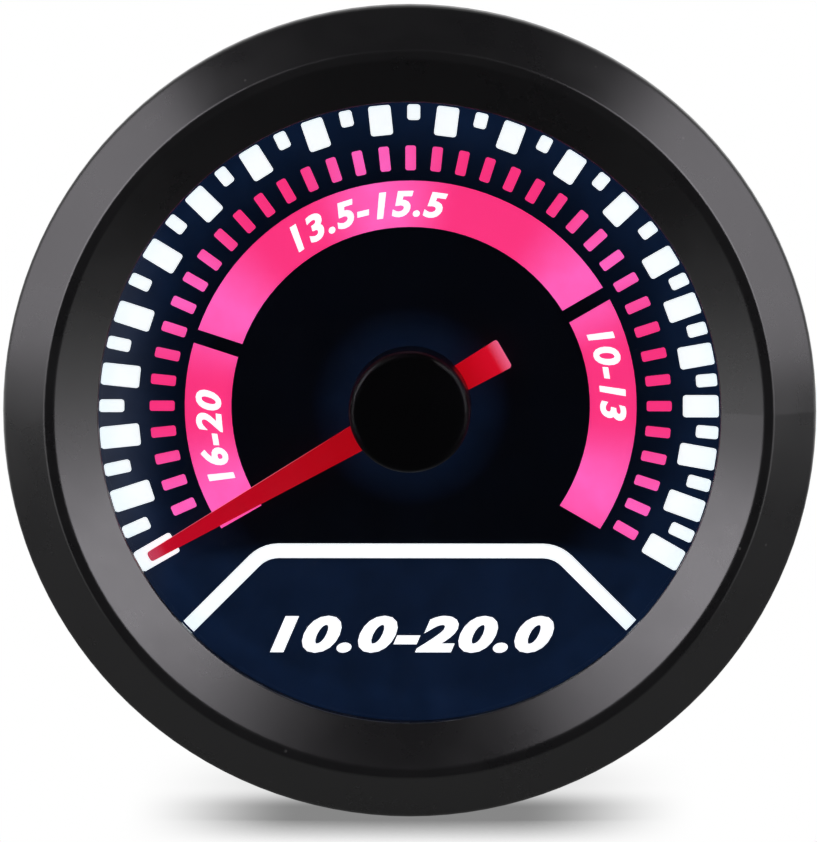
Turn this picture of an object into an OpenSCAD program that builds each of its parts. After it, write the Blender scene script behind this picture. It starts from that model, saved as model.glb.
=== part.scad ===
// Air fuel ratio gauge for a round dashboard hole, with a lit dial and a stepper movement.
// The gauge's axis lies along Y: the face looks towards -Y, up is +Z, and the origin is on the
// axis, in the plane where the bezel seats on the panel. Every module is drawn with the axis
// along Z and the face up, so that heights above the panel are positive and depths behind it
// negative, and face_forward() then lays the piece down. Angles run anticlockwise from the
// right as the driver sees the dial.

/* [Bezel] */
// Reach of the bezel's rim beyond the can
bezel_reach = 4; // [3.8:0.1:4.8]
// Height of the bezel's crest in front of the panel
bezel_h = 5.4; // [5:0.1:6.4]
// Height of the upright rim at the panel
rim_h = 2; // [1.7:0.1:2.3]
// Place of the narrow flat crest, as a share of the way from the opening to the rim
crest_share = 0.51; // [0.45:0.01:0.55]
// Width of the flat crest
crest_w = 0.7; // [0.6:0.1:1]
// Reach of the bezel's lip inside the can's bore
sill_w = 1.45; // [1.4:0.05:1.9]
// Thickness of the lip that holds the lens down
lip_t = 0.6; // [0.4:0.1:0.8]
// Thickness of the bezel's outer wall
bezel_wall = 1.4; // [1.2:0.1:1.5]
// Number of snap lugs behind the can's flange
lug_n = 6; // [3:1:12]
// Thickness of a snap lug
lug_t = 0.5; // [0.4:0.1:0.7]

/* [Lens] */
// Width of the lens that lies under the bezel's lip
lens_lap = 2.65; // [2.4:0.05:2.75]
// Thickness of the lens
lens_t = 1.2; // [1:0.1:1.5]
// Height of the lens's dome above its rim
lens_rise = 1.2; // [1:0.1:1.6]
// Thickness of the lens gasket
gasket_t = 0.3; // [0.2:0.1:0.5]

/* [Can] */
// Outside diameter of the can, which passes through the panel
can_d = 52; // [48:1:60]
// Wall of the can in front of the inner ledge
can_wall = 1.6; // [1.4:0.1:1.7]
// Room in the can behind the tallest piece on the main board
rear_room = 2.8; // [2.3:0.1:8]
// Thickness of the flange
flange_t = 1; // [0.8:0.1:1.2]
// Thickness of the rear cover
cover_t = 2; // [1.6:0.2:3]

/* [Dial] */
// Depth of the dial's printed face behind the opening's edge
dial_depth = 7.8; // [7.6:0.1:8.4]
// Angle of the scale's first mark
scale_start = 210; // [205:1:215]
// Sweep of the lean zone
lean_sweep = 48; // [40:4:56]
// Sweep of the middle zone
mid_sweep = 132; // [121:11:143]
// Sweep of the rich zone
rich_sweep = 60; // [48:6:66]
// Radius where the major blocks begin, as a share of the opening's
major_share = 0.876; // [0.867:0.001:0.893]
// Width of a major block
major_w = 1.66; // [1.4:0.1:1.9]
// Radius where the minor blocks begin, as a share of the opening's
minor_share = 0.9215; // [0.898:0.0005:0.941]
// Width of a minor block
minor_w = 0.96; // [0.7:0.1:1.2]
// Inner radius of the tick ring, as a share of the opening's
tick_in_share = 0.7595; // [0.7495:0.0005:0.7755]
// Outer radius of the tick ring, as a share of the opening's
tick_out_share = 0.84; // [0.824:0.001:0.845]
// Width of a tick
tick_w = 0.78; // [0.6:0.1:1]
// Inner radius of the coloured bands, as a share of the opening's
band_in_share = 0.577; // [0.571:0.001:0.61]
// Outer radius of the coloured bands, as a share of the opening's
band_out_share = 0.727; // [0.706:0.001:0.736]
// Width of the gap between two bands
band_gap = 1; // [0.6:0.1:1.4]
// Depth of the panel outline's top line below the axis, as a share of the opening's radius
outline_y_share = 0.4675; // [0.4445:0.0005:0.4965]
// Half the length of the panel outline's top line, as a share of the opening's radius
outline_x_share = 0.4705; // [0.392:0.0005:0.497]
// Width of the panel outline
outline_w = 1.1; // [0.8:0.1:1.4]
// Radius inside the panel outline's bends
outline_round = 2; // [1:0.1:3]

/* [Pointer] */
// Gap between the pointer's tip and the opening's edge, seen from the front
tip_gap = 0.65; // [0.4:0.05:2]
// Reach of the pointer's tail beyond the hub cap
tail_reach = 3.5; // [1.5:0.5:5.5]
// Width of the blade where it leaves the hub
blade_w = 2.1; // [1.6:0.1:2.4]
// Width of the blunt tip
tip_w = 0.75; // [0.5:0.05:1.2]
// Thickness of the blade at the hub
blade_t = 1; // [0.8:0.1:1.2]
// Diameter of the hub cap
cap_d = 9; // [8.6:0.2:10]
// Gap between the hub cap and the lens
cap_gap = 0.6; // [0.4:0.1:1.2]

/* [Movement] */
// Gap between the intermediate wheel and the movement's side wall
wheel_gap = 0.76; // [0.6:0.01:2]
// Teeth of the output wheel
out_teeth = 90; // [84:6:96]
// Teeth of the intermediate wheel
mid_teeth = 72; // [66:6:72]
// Leaves of both pinions
leaf_n = 6; // [6:1:7]
// Thickness of the wheels
gear_t = 0.8; // [0.6:0.1:0.8]
// Radius of the magnet, as a share of the distance from the rotor to the intermediate gear
magnet_share = 0.4; // [0.34:0.01:0.41]
// Gap between the movement's case and the standoffs beside it
case_gap = 1.08; // [0.6:0.02:1.3]
// Half the depth of a coil
coil_half = 2.6; // [2.3:0.1:2.7]
// Wall of the movement's case
case_t = 1.2; // [1:0.1:1.3]
// Radius of the pointer shaft
shaft_r = 0.75; // [0.6:0.05:0.9]

/* [Boards] */
// Height of the light box
box_h = 3.1; // [2.8:0.1:3.6]
// Number of lamps in each lit ring
lamp_n = 15; // [11:2:17]
// Thickness of the lamp board
lamp_board_t = 1.2; // [1:0.1:1.6]
// Room between the movement and the main board
board_room = 2.2; // [1.6:0.2:3]
// Thickness of the main board
main_board_t = 1.6; // [1.2:0.1:1.6]

/* [Mounting] */
// Distance of a mounting stud's axis from the can's inner wall
stud_inset = 6.6; // [5.2:0.2:8]
// Radius of a mounting stud
stud_r = 2; // [1.8:0.1:2.2]
// Length of the studs behind the nuts
stud_end = 8.6; // [4:0.2:20]
// Gap between the clamp bracket's edge and the cover screws
bracket_clear = 0.65; // [0.4:0.05:3]
// Thickness of the clamp bracket
bracket_t = 1.3; // [1:0.1:1.6]
// Gap between the bezel's seat and the bracket's feet, which takes the panel
panel_gap = 8; // [6:0.5:12]

/* [Hidden] */
$fn = 96;

// Overrun of cuts past the faces that they open
over = 0.5;
// Segments of the dome's circle
dome_steps = 720;
// Segments of a rounded corner
corner_steps = 5;
// Segments of a rounded corner on the dial's small windows
window_steps = 3;

// Radial clearance of turning steel pivots
run_fit = 0.04;
// Radial clearance of pieces that drop into one another
drop_fit = 0.1;
// Gap between a turning piece and its still neighbour along the axis
turn_gap = 0.3;

// Bezel
rim_round = 0.9;
crest_round = 0.3;
crest_soft = 0.6;
opening_round = 0.2;
pocket_wall = 1.3;
lug_reach = 0.9;
lug_root = 0.4;
lug_sweep = 12;
flange_gap = 0.3;
can_r = can_d / 2;
can_in = can_r - can_wall;
bezel_r = can_r + bezel_reach;
bezel_in = bezel_r - bezel_wall;
opening_r = can_in - sill_w;
crest_mid = opening_r + crest_share * (bezel_r - opening_r);
crest_out = crest_mid + crest_w / 2;
crest_in = crest_mid - crest_w / 2;
lens_r = opening_r + lens_lap;
pocket_r = lens_r + drop_fit;
flange_r = bezel_in - flange_gap;

// Heights of the stack that the bezel holds down
flange_top = lug_t + flange_t;
lens_back = flange_top + gasket_t;
lens_top = lens_back + lens_t;
opening_h = lens_top + lip_t;
dome_edge_share = 0.998;
dome_r = opening_r * dome_edge_share;
dome_sphere = (pow(dome_r, 2) + pow(lens_rise, 2)) / (2 * lens_rise);

// Dial stack, from the front to the back
mask_t = 0.3;
film_t = 0.2;
guide_t = 2;
mask_top = opening_h - dial_depth;
film_top = mask_top - mask_t;
guide_top = film_top - film_t;
box_top = guide_top - guide_t;
lamp_board_top = box_top - box_h;
ledge_top = lamp_board_top - lamp_board_t;

// Rear cover and the places of its screws
ledge_w = 0.8;
boss_r = 2.3;
boss_l = 6;
cover_chamfer = 0.6;
spigot_h = 1.5;
spigot_t = 1.2;
screw_r = 1.05;
screw_l = 5;
screw_hole_r = 1.35;
pan_r = 2.2;
pan_h = 1.3;
recess_w = 0.55;
recess_l = 2.4;
recess_d = 0.7;
cover_screw_angles = [90, 210, 330];
ledge_r = can_in - ledge_w;
boss_pos = ledge_r - boss_r + ledge_w / 2;

// Dial pieces
dial_r = can_in - 2 * drop_fit;
hood_wall = 1;
hood_r = can_in - drop_fit;
hood_in = hood_r - hood_wall;
mask_hole_r = 2.6;
print_r = hood_in + hood_wall / 2;
major_r = opening_r * major_share;
minor_r = opening_r * minor_share;
tick_in = opening_r * tick_in_share;
tick_out = opening_r * tick_out_share;
band_in = opening_r * band_in_share;
band_out = opening_r * band_out_share;
outline_x = opening_r * outline_x_share;
outline_y = opening_r * outline_y_share;
window_round = 0.22;
tick_round = 0.16;
film_gap = 0.05;
film_margin = 0.4;
end_margin = 0.88;
leg_angle = 45;
tick_step = 6;
zones = [[0, lean_sweep, 4], [lean_sweep, mid_sweep, 10], [lean_sweep + mid_sweep, rich_sweep, 6]];
scale_sweep = lean_sweep + mid_sweep + rich_sweep;
major_angles = [
    scale_start,
    for (zone = zones) for (i = [1:zone[2]]) scale_start - zone[0] - zone[1] * i / zone[2]
];

// Light box and lamps
box_wall = 1;
box_rib = 0.8;
box_floor = 0.8;
divider_out = (major_r + tick_out) / 2 + box_rib / 2;
inner_ring_r = band_in - box_rib;
hub_ring_r = 3.4;
white_lamp_r = (divider_out + dial_r - box_wall) / 2;
red_lamp_r = (inner_ring_r + divider_out) / 2;
hub_lamp_r = (inner_ring_r + hub_ring_r) / 2;
panel_lamp_y = (inner_ring_r + divider_out - box_rib) / 2;
panel_lamp_pitch = 7;
lamp_l = 2;
lamp_w = 1.25;
lamp_t = 0.7;
lamp_room = 0.3;
hub_lamp_angles = [0, 180];
lamp_step = scale_sweep / (lamp_n - 1);
lamp_angles = [for (i = [0:lamp_n - 1]) scale_start - lamp_step * i];
guide_hole_r = 2.9;

// Boards and standoffs, whose places set the movement's width
board_gap = 0.8;
standoff_hex_r = 2.3;
standoff_spigot_r = 1.3;
standoff_bore_r = 1.25;
standoff_shares = [[-0.85, 0.09], [0.85, 0.09], [0, 0.79]];
main_board_r = ledge_r - board_gap;
board_half = [main_board_r, main_board_r];
standoff_places = places(standoff_shares, board_half);
case_w = 2 * (standoff_places[1].x - standoff_hex_r - case_gap);

// Movement: depths below its front face, which lies on the lamp board
case_round = 5;
case_top_share = 0.3625;
case_low_share = 0.53125;
case_top_y = case_w * case_top_share;
case_low_y = case_w * case_low_share;
case_mid_y = (case_top_y + case_low_y) / 2;
case_split = 3.6;
case_side = 1;
tube_wall = 1.45;
tube_gap = 0.7;
peg_r = 1;
peg_shares = [[-0.72, 0.74], [0.72, -0.79]];
pivot_r = 0.25;
pivot_l = 0.7;
rear_pivot_r = 0.5;
rear_bearing_l = 4;
case_front = ledge_top;
wheel_top = case_front - case_t - turn_gap;
wheel_back = wheel_top - gear_t;
mid_wheel_top = wheel_back - turn_gap;
mid_wheel_back = mid_wheel_top - gear_t;
mesh_over = 0.2;
rotor_leaf_back = mid_wheel_back - mesh_over;
stator_t = 1;
magnet_margin = 0.6;
magnet_l = 2 * (coil_half - magnet_margin);
coil_gap = 0.4;
coil_room = 0.2;
stator_mid = mid_wheel_back - coil_gap - coil_half;
magnet_top = stator_mid + magnet_l / 2;
case_back = stator_mid - coil_half - coil_room - case_t;
case_h = case_front - case_back;

// Gear centres, seen from the front. The module is the largest that the case's width lets in
mid_angle = -45;
wheel_add = 1.25;
gear_m = (case_w / 2 - case_side - wheel_gap)
    / ((out_teeth + leaf_n) / 2 * cos(mid_angle) + mid_teeth / 2 + wheel_add);
out_distance = gear_m * (out_teeth + leaf_n) / 2;
rotor_distance = gear_m * (mid_teeth + leaf_n) / 2;
mid_x = out_distance * cos(mid_angle);
mid_y = out_distance * sin(mid_angle);
rotor_y = mid_y - sqrt(pow(rotor_distance, 2) - pow(mid_x, 2));
rotor_angle = atan2(rotor_y - mid_y, -mid_x);

// Tooth form, in modules: ogival wheel teeth and thin leaves with radial flanks
wheel_ded = 0.95;
wheel_width = 0.47;
leaf_add = 0.65;
leaf_ded = 1.55;
leaf_width = 0.34;
ogive_steps = [40, 75];
hub_r = 1.6;
mid_boss_r = 1.05;
wheel_hole_share = 0.2;
wheel_hole_pos_share = 0.58;
wheel_hole_n = 6;

// Stator and coils
magnet_r = rotor_distance * magnet_share;
air_gap = 0.6;
pole_wall = 1.6;
arm_angle = 50;
arm_w = 2.2;
arm_clear = 1.4;
arm_l = (case_w / 2 - case_side - arm_clear - arm_w / 2) / cos(arm_angle);
coil_clear = 0.3;
coil_start = mid_x * cos(arm_angle) + (mid_y - rotor_y) * sin(arm_angle) + mid_boss_r + 2 * coil_clear;
coil_end = arm_l - (arm_w / 2 + coil_half * cos(arm_angle) + coil_clear) / sin(arm_angle);
coil_l = coil_end - coil_start;
bobbin_flange_t = 0.7;
bobbin_wall = 0.5;
winding_margin = 0.4;
notch_w = 0.6;
notch_share = 0.6;
stator_pin_r = 0.5;
stator_post_r = 1;
stator_post_share = 0.93;
arbor_r = 0.5;
collar_r = 0.8;

// Pointer
pointer_gap = 0.3;
pointer_boss_r = 1.6;
pointer_boss_l = 1;
hub_plate_t = 1.3;
tip_t = 0.6;
tail_w = 2.3;
tail_neck_w = 1.9;
tip_round = 0.2;
blade_start = 3;
hub_back = mask_top + pointer_gap;
blade_top = hub_back + hub_plate_t;
blade_back = blade_top - blade_t;
pointer_r = opening_r - tip_gap;
tail_r = cap_d / 2 + tail_reach;
tube_l = hub_back - pointer_boss_l - tube_gap - case_front;
cap_wall = 0.9;
pointer_hub_r = cap_d / 2 - cap_wall - 2 * drop_fit;
cap_round = 0.6;
cap_boss_r = 1.7;
cap_skirt = 1;
cap_grip = 1.4;
shaft_top = blade_top + cap_grip;
cap_top = lens_back + lens_rise - cap_gap;

// Boards and what stands on them
board_screw_l = 5;
standoff_l = case_h + board_room;
main_board_top = ledge_top - standoff_l;
main_board_back = main_board_top - main_board_t;
pin_w = 0.6;
pin_hole_r = 0.5;
pin_tail = 1;
link_n = 6;
link_pitch = 2;
link_w = 2.4;
link_h = 2.5;
link_gap = 1.3;
link_y = case_low_y + link_w / 2 + link_gap;
link_end = 0.3;
link_l = link_pitch * link_n + 2 * link_end;
terminal_shares = [[-0.79, 0.69], [-0.525, 0.76], [0.525, 0.76], [0.79, 0.69]];
terminal_rise = 2.4;
connector_n = 5;
connector_share = 0.614;
connector_l = 13;
connector_w = 7;
connector_wall = 0.9;
connector_base = 3;
connector_reach = 2.6;
connector_pin_l = 5;
connector_key_w = 2;
connector_key_t = 0.5;
connector_key_drop = 0.6;
controller_w = 7;
controller_t = 1.2;
driver_l = 5;
driver_w = 6.2;
driver_t = 1.6;
regulator_l = 6.6;
regulator_w = 6.2;
regulator_t = 2.3;
controller_share = [-0.35, 0.09];
driver_share = [0.18, 0.09];
regulator_share = [0.55, -0.18];
capacitor_r = 2.5;
capacitor_h = 5;
capacitor_shares = [[-0.57, -0.35], [-0.22, 0.57], [0.5, 0.55]];
connector_y = main_board_r * connector_share;
can_l = -main_board_back + capacitor_h + rear_room;
cover_back = -can_l - cover_t;
connector_back = cover_back - connector_reach;
terminal_places = places(terminal_shares, [case_w / 2, case_top_y]);
peg_places = places(peg_shares, [case_w / 2, case_mid_y]);

// Mounting hardware
stud_head_r = 3.6;
stud_head_t = 1.2;
bracket_gap = 0.9;
bend_out = 2.1;
bend_in = 0.8;
foot_round = 0.5;
washer_r = 3.6;
washer_t = 0.9;
washer_slot = 0.6;
nut_r = 4.04;
nut_t = 3.2;
nut_chamfer = 0.4;
nut_chamfer_angle = 30;
stud_chamfer = 0.5;
stud_x = ledge_r - stud_inset;
stud_l = bracket_t + washer_t + nut_t + stud_end;
bracket_w = 2 * (-boss_pos * sin(cover_screw_angles[1]) - pan_r - bracket_clear);
bracket_in = can_r + bracket_gap;
bracket_out = bracket_in + bracket_t;
bracket_back = cover_back - bracket_t;

function unit(v) = v / norm(v);

// The points of one rounded corner at b, between the neighbours a and c
function corner_arc(a, b, c, r, steps) =
    r == 0 ? [b] :
    let (
        u = unit(a - b),
        v = unit(c - b),
        half = acos(u * v) / 2,
        centre = b + unit(u + v) * r / sin(half),
        first = b + u * r / tan(half) - centre,
        from = atan2(first.y, first.x),
        turn = -sign(cross(u, v)) * (180 - 2 * half)
    )
    [for (i = [0:steps]) centre + r * [cos(from + turn * i / steps), sin(from + turn * i / steps)]];

// A closed outline from corners given as [x, y, radius]
function rounded(points, steps = corner_steps) =
    let (n = len(points), xy = [for (p = points) [p.x, p.y]])
    [for (i = [0:n - 1]) each corner_arc(xy[(i + n - 1) % n], xy[i], xy[(i + 1) % n], points[i].z, steps)];

// Places given as shares of the half width and half height of what carries them
function places(shares, half) = [for (s = shares) [s.x * half.x, s.y * half.y]];

// Corners of a rectangle from low to high, all with one radius
function box_corners(low, high, r) =
    [[low.x, low.y, r], [high.x, low.y, r], [high.x, high.y, r], [low.x, high.y, r]];

// A point at a distance and an angle
function polar(r, angle) = [r * cos(angle), r * sin(angle)];

// One half of a tooth's outline as [radius, share of the half angle], from the root to the tip
function half_tooth(pitch_r, add, ded) = [
    [pitch_r - ded, 1],
    [pitch_r, 1],
    for (s = ogive_steps) [pitch_r + add * sin(s), cos(s)]
];

// Outline of a toothed wheel with a tooth centred on the angle given
function wheel_outline(teeth, add, ded, width, at) =
    let (
        side = half_tooth(gear_m * teeth / 2, add * gear_m, ded * gear_m),
        half = 180 * width / teeth,
        last = len(side) - 1
    )
    [for (i = [0:teeth - 1]) each [
        for (k = [0:last]) polar(side[k][0], at + 360 * i / teeth - half * side[k][1]),
        for (k = [last:-1:0]) polar(side[k][0], at + 360 * i / teeth + half * side[k][1])
    ]];

module face_forward() {
    rotate([90, 0, 0]) children();
}

// A flat piece whose front face is at the height top
module slab(top, t) {
    translate([0, 0, top - t]) linear_extrude(t) children();
}

module ring(r_out, r_in) {
    difference() {
        circle(r_out);
        circle(r_in);
    }
}

module bar(size, r, steps = window_steps) {
    polygon(rounded(box_corners(-size / 2, size / 2, r), steps));
}

module at_polar(r, angle) {
    rotate(angle) translate([r, 0]) children();
}

module at_each(places) {
    for (p = places) {
        translate(p) children();
    }
}

module pan_screw(r, l) {
    difference() {
        translate([0, 0, -pan_h]) cylinder(r = pan_r, h = pan_h);
        for (turn = [0, 90]) {
            rotate(turn)
                translate([-recess_l / 2, -recess_w / 2, -pan_h - over])
                    cube([recess_l, recess_w, recess_d + over]);
        }
    }
    cylinder(r = r, h = l);
}

// Bezel, lens and what they clamp

module bezel_ring() {
    slope = (bezel_h - rim_h) / (bezel_r - crest_out);
    roof = rim_h - bezel_wall * sqrt(1 + pow(slope, 2));
    core_in = pocket_r + pocket_wall;
    color("#1a1a1d") face_forward() {
        rotate_extrude()
            polygon(rounded([
                [bezel_r, 0, 0],
                [bezel_r, rim_h, rim_round],
                [crest_out, bezel_h, crest_round],
                [crest_in, bezel_h, crest_soft],
                [opening_r, opening_h, opening_round],
                [opening_r, lens_top, 0],
                [pocket_r, lens_top, 0],
                [pocket_r, flange_top, 0],
                [core_in, flange_top, 0],
                [core_in, roof + slope * (bezel_r - core_in), 0],
                [bezel_in, roof + slope * (bezel_r - bezel_in), 0],
                [bezel_in, 0, 0]
            ]));
        for (i = [0:lug_n - 1]) {
            rotate(360 * (i + 0.5) / lug_n - lug_sweep / 2)
                rotate_extrude(angle = lug_sweep)
                    translate([bezel_in - lug_reach, 0])
                        square([lug_reach + lug_root, lug_t]);
        }
    }
}

module lens() {
    color("#30343c", 0.5) face_forward()
        rotate_extrude() {
            translate([dome_r, lens_back]) square([lens_r - dome_r, lens_t]);
            intersection() {
                translate([0, lens_back]) square([dome_r, lens_t + lens_rise]);
                difference() {
                    translate([0, lens_top + lens_rise - dome_sphere]) circle(dome_sphere, $fn = dome_steps);
                    translate([0, lens_back + lens_rise - dome_sphere]) circle(dome_sphere, $fn = dome_steps);
                }
            }
        }
}

module lens_gasket() {
    color("#101010") face_forward() slab(lens_back, gasket_t) ring(lens_r, hood_in);
}

module dial_hood() {
    color("#0c0c0e") face_forward() slab(flange_top, flange_top - mask_top) ring(hood_r, hood_in);
}

// Dial

module major_windows() {
    for (a = major_angles) {
        at_polar((major_r + print_r) / 2, a) bar([print_r - major_r, major_w], window_round);
    }
}

module minor_windows() {
    for (i = [1:len(major_angles) - 1]) {
        at_polar((minor_r + print_r) / 2, (major_angles[i - 1] + major_angles[i]) / 2)
            bar([print_r - minor_r, minor_w], window_round);
    }
}

module tick_windows() {
    for (i = [0:scale_sweep / tick_step]) {
        at_polar((tick_in + tick_out) / 2, scale_start - tick_step * i)
            bar([tick_out - tick_in, tick_w], tick_round);
    }
}

// The open wedge below the scale, whose sides run parallel to the scale's first and last marks
module lower_wedge(margin) {
    reach = 2 * dial_r;
    first = scale_start;
    last = scale_start - scale_sweep;
    apex = polar(margin / sin((360 - scale_sweep) / 2), (first + last) / 2 + 180);
    polygon([
        apex,
        apex + polar(reach, first),
        polar(2 * reach, (first + last) / 2 + 180),
        apex + polar(reach, last)
    ]);
}

module band_windows() {
    difference() {
        ring(band_out, band_in);
        lower_wedge(end_margin);
        for (a = [lean_sweep, lean_sweep + mid_sweep]) {
            rotate(scale_start - a) translate([0, -band_gap / 2]) square([band_out + over, band_gap]);
        }
    }
}

// A top line with two legs that run down and outwards at 45 degrees
module outline_window() {
    half = outline_w / 2;
    miter = half * tan(leg_angle / 2);
    leg_end = [outline_x, 0] + polar(dial_r, -leg_angle);
    leg_side = polar(half, 90 - leg_angle);
    intersection() {
        circle(print_r);
        translate([0, -outline_y])
            polygon(rounded([
                [-outline_x - miter, half, outline_round + outline_w],
                [outline_x + miter, half, outline_round + outline_w],
                concat(leg_end + leg_side, 0),
                concat(leg_end - leg_side, 0),
                [outline_x - miter, -half, outline_round],
                [-outline_x + miter, -half, outline_round],
                [-leg_end.x + leg_side.x, leg_end.y - leg_side.y, 0],
                [-leg_end.x - leg_side.x, leg_end.y + leg_side.y, 0]
            ]));
    }
}

module dial_windows() {
    major_windows();
    minor_windows();
    tick_windows();
    band_windows();
    outline_window();
}

module dial_mask() {
    color("#07080c") face_forward()
        slab(mask_top, mask_t)
            difference() {
                circle(dial_r);
                circle(mask_hole_r);
                dial_windows();
            }
}

// The ring sector under the ticks and bands, grown by an edge margin
module red_zone(margin) {
    difference() {
        ring((tick_out + major_r) / 2 + margin, band_in - film_margin - margin);
        lower_wedge(2 * end_margin + film_margin + margin);
    }
}

module white_film() {
    color("white") face_forward()
        slab(film_top, film_t)
            difference() {
                circle(dial_r);
                circle(mask_hole_r);
                red_zone(film_gap);
            }
}

module red_film() {
    color("#ff3078") face_forward() slab(film_top, film_t) red_zone(0);
}

module light_guide() {
    color("#e8f0f4", 0.6) face_forward() slab(guide_top, guide_t) ring(dial_r, guide_hole_r);
}

module lamp_places() {
    for (a = lamp_angles) {
        at_polar(white_lamp_r, a) children();
    }
    for (i = [-1:1]) {
        translate([panel_lamp_pitch * i, -panel_lamp_y]) children();
    }
}

module red_lamp_places() {
    for (a = lamp_angles) {
        at_polar(red_lamp_r, a) children();
    }
    for (a = hub_lamp_angles) {
        at_polar(hub_lamp_r, a) children();
    }
}

module lamp_window_shape() {
    square([lamp_l + 2 * lamp_room, lamp_w + 2 * lamp_room], center = true);
}

module light_box() {
    color("#f2f2ee") face_forward() {
        slab(box_top - box_h + box_floor, box_floor)
            difference() {
                circle(dial_r);
                circle(hub_ring_r);
                lamp_places() lamp_window_shape();
                red_lamp_places() lamp_window_shape();
            }
        slab(box_top, box_h - box_floor) {
            ring(dial_r, dial_r - box_wall);
            ring(divider_out, divider_out - box_rib);
            ring(inner_ring_r, inner_ring_r - box_rib);
            ring(hub_ring_r + box_rib, hub_ring_r);
            for (i = [-1:lamp_n - 1]) {
                rotate(scale_start - lamp_step * (i + 0.5))
                    translate([inner_ring_r - box_rib / 2, -box_rib / 2])
                        square([dial_r - box_wall / 2 - inner_ring_r + box_rib / 2, box_rib]);
            }
        }
    }
}

// Lamp board and lamps

module pin_row(n, pitch) {
    for (i = [0:n - 1]) {
        translate([pitch * (i - (n - 1) / 2), 0]) children();
    }
}

module link_places() {
    translate([0, -link_y]) pin_row(link_n, link_pitch) children();
}

module at_pegs() {
    translate([0, case_top_y - case_mid_y]) at_each(peg_places) children();
}

module lamp_board() {
    color("#e9ece9") face_forward()
        slab(lamp_board_top, lamp_board_t)
            difference() {
                circle(dial_r);
                circle(shaft_r + run_fit + tube_wall + drop_fit);
                at_each(standoff_places) circle(standoff_spigot_r);
                at_pegs() circle(peg_r);
                link_places() circle(pin_hole_r);
            }
}

module lamp() {
    translate([-lamp_l / 2, -lamp_w / 2, 0]) cube([lamp_l, lamp_w, lamp_t]);
}

module white_lamps() {
    color("#fdfdf2") face_forward()
        translate([0, 0, lamp_board_top]) lamp_places() lamp();
}

module red_lamps() {
    color("#ff5560") face_forward()
        translate([0, 0, lamp_board_top]) red_lamp_places() lamp();
}

// Movement

module case_outline(inset = 0) {
    polygon(rounded(box_corners(
        [-case_w / 2 + inset, -case_low_y + inset],
        [case_w / 2 - inset, case_top_y - inset],
        case_round - inset
    )));
}

module movement_front_case() {
    tube_r = shaft_r + run_fit + tube_wall;
    bearing_l = pivot_l + drop_fit;
    color("#ececea") face_forward()
        difference() {
            union() {
                slab(case_front, case_t) case_outline();
                slab(case_front - case_t, case_split - case_t)
                    difference() {
                        case_outline();
                        case_outline(case_side);
                    }
                translate([0, 0, case_front]) cylinder(r = tube_r, h = tube_l);
                translate([0, 0, case_front]) at_pegs() cylinder(r = peg_r, h = lamp_board_t);
            }
            translate([0, 0, case_front - case_t - over])
                cylinder(r = shaft_r + run_fit, h = case_t + tube_l + 2 * over);
            for (p = [[mid_x, mid_y], [0, rotor_y]]) {
                translate(concat(p, case_front - case_t - over))
                    cylinder(r = pivot_r + run_fit, h = bearing_l + over);
            }
        }
}

module stator_posts() {
    for (side = [-1, 1]) {
        translate([side * arm_l * cos(arm_angle) * stator_post_share, rotor_y + arm_l * sin(arm_angle)])
            children();
    }
    translate([0, rotor_y - magnet_r - air_gap - pole_wall / 2]) children();
}

module movement_rear_case() {
    inner_back = case_back + case_t;
    stator_back = stator_mid - stator_t / 2;
    mid_boss_top = mid_wheel_back - turn_gap;
    rear_boss_top = inner_back + rear_bearing_l + drop_fit;
    color("#dcdcd8") face_forward()
        difference() {
            union() {
                slab(inner_back, case_t) case_outline();
                slab(case_front - case_split, case_h - case_split - case_t)
                    difference() {
                        case_outline();
                        case_outline(case_side);
                    }
                translate([0, 0, inner_back]) cylinder(r = hub_r, h = rear_boss_top - inner_back);
                translate([mid_x, mid_y, inner_back])
                    cylinder(r = mid_boss_r, h = mid_boss_top - inner_back);
                stator_posts() {
                    translate([0, 0, inner_back]) cylinder(r = stator_post_r, h = stator_back - inner_back);
                    translate([0, 0, stator_back]) cylinder(r = stator_pin_r, h = stator_t);
                }
            }
            translate([0, 0, rear_boss_top - rear_bearing_l])
                cylinder(r = rear_pivot_r + run_fit, h = rear_bearing_l + over);
            translate([mid_x, mid_y, mid_boss_top - pivot_l - drop_fit])
                cylinder(r = pivot_r + run_fit, h = pivot_l + drop_fit + over);
            translate([0, rotor_y, inner_back - pivot_l - drop_fit])
                cylinder(r = pivot_r + run_fit, h = pivot_l + drop_fit + over);
            at_each(terminal_places)
                translate([-pin_w / 2, -pin_w / 2, case_back - over]) cube([pin_w, pin_w, case_t + 2 * over]);
        }
}

module stator() {
    bore_r = magnet_r + air_gap;
    pole_r = bore_r + pole_wall;
    end_x = arm_l * cos(arm_angle);
    end_y = arm_l * sin(arm_angle);
    color("#8d9095") face_forward()
        slab(stator_mid + stator_t / 2, stator_t)
            translate([0, rotor_y])
                difference() {
                    union() {
                        circle(pole_r);
                        for (a = [arm_angle, 180 - arm_angle]) {
                            rotate(a) translate([0, -arm_w / 2]) square([arm_l, arm_w]);
                        }
                        translate([-end_x, end_y - arm_w / 2]) square([2 * end_x, arm_w]);
                        for (side = [-1, 1]) {
                            translate([side * end_x, end_y]) circle(arm_w / 2);
                        }
                    }
                    circle(bore_r);
                    for (a = [90, 210, 330]) {
                        at_polar(bore_r, a)
                            square([2 * pole_wall * notch_share, notch_w], center = true);
                    }
                    translate([0, -rotor_y]) stator_posts() circle(stator_pin_r);
                }
}

module at_each_arm() {
    for (a = [arm_angle, 180 - arm_angle]) {
        translate([0, rotor_y, stator_mid]) rotate(a) translate([coil_start, 0, 0]) children();
    }
}

// A square block along the arm, with its corners rounded, from one end to the other
module arm_block(from, to, half, r) {
    translate([from, 0, 0]) rotate([90, 0, 90])
        linear_extrude(to - from)
            polygon(rounded(box_corners([-half, -half], [half, half], r)));
}

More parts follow.
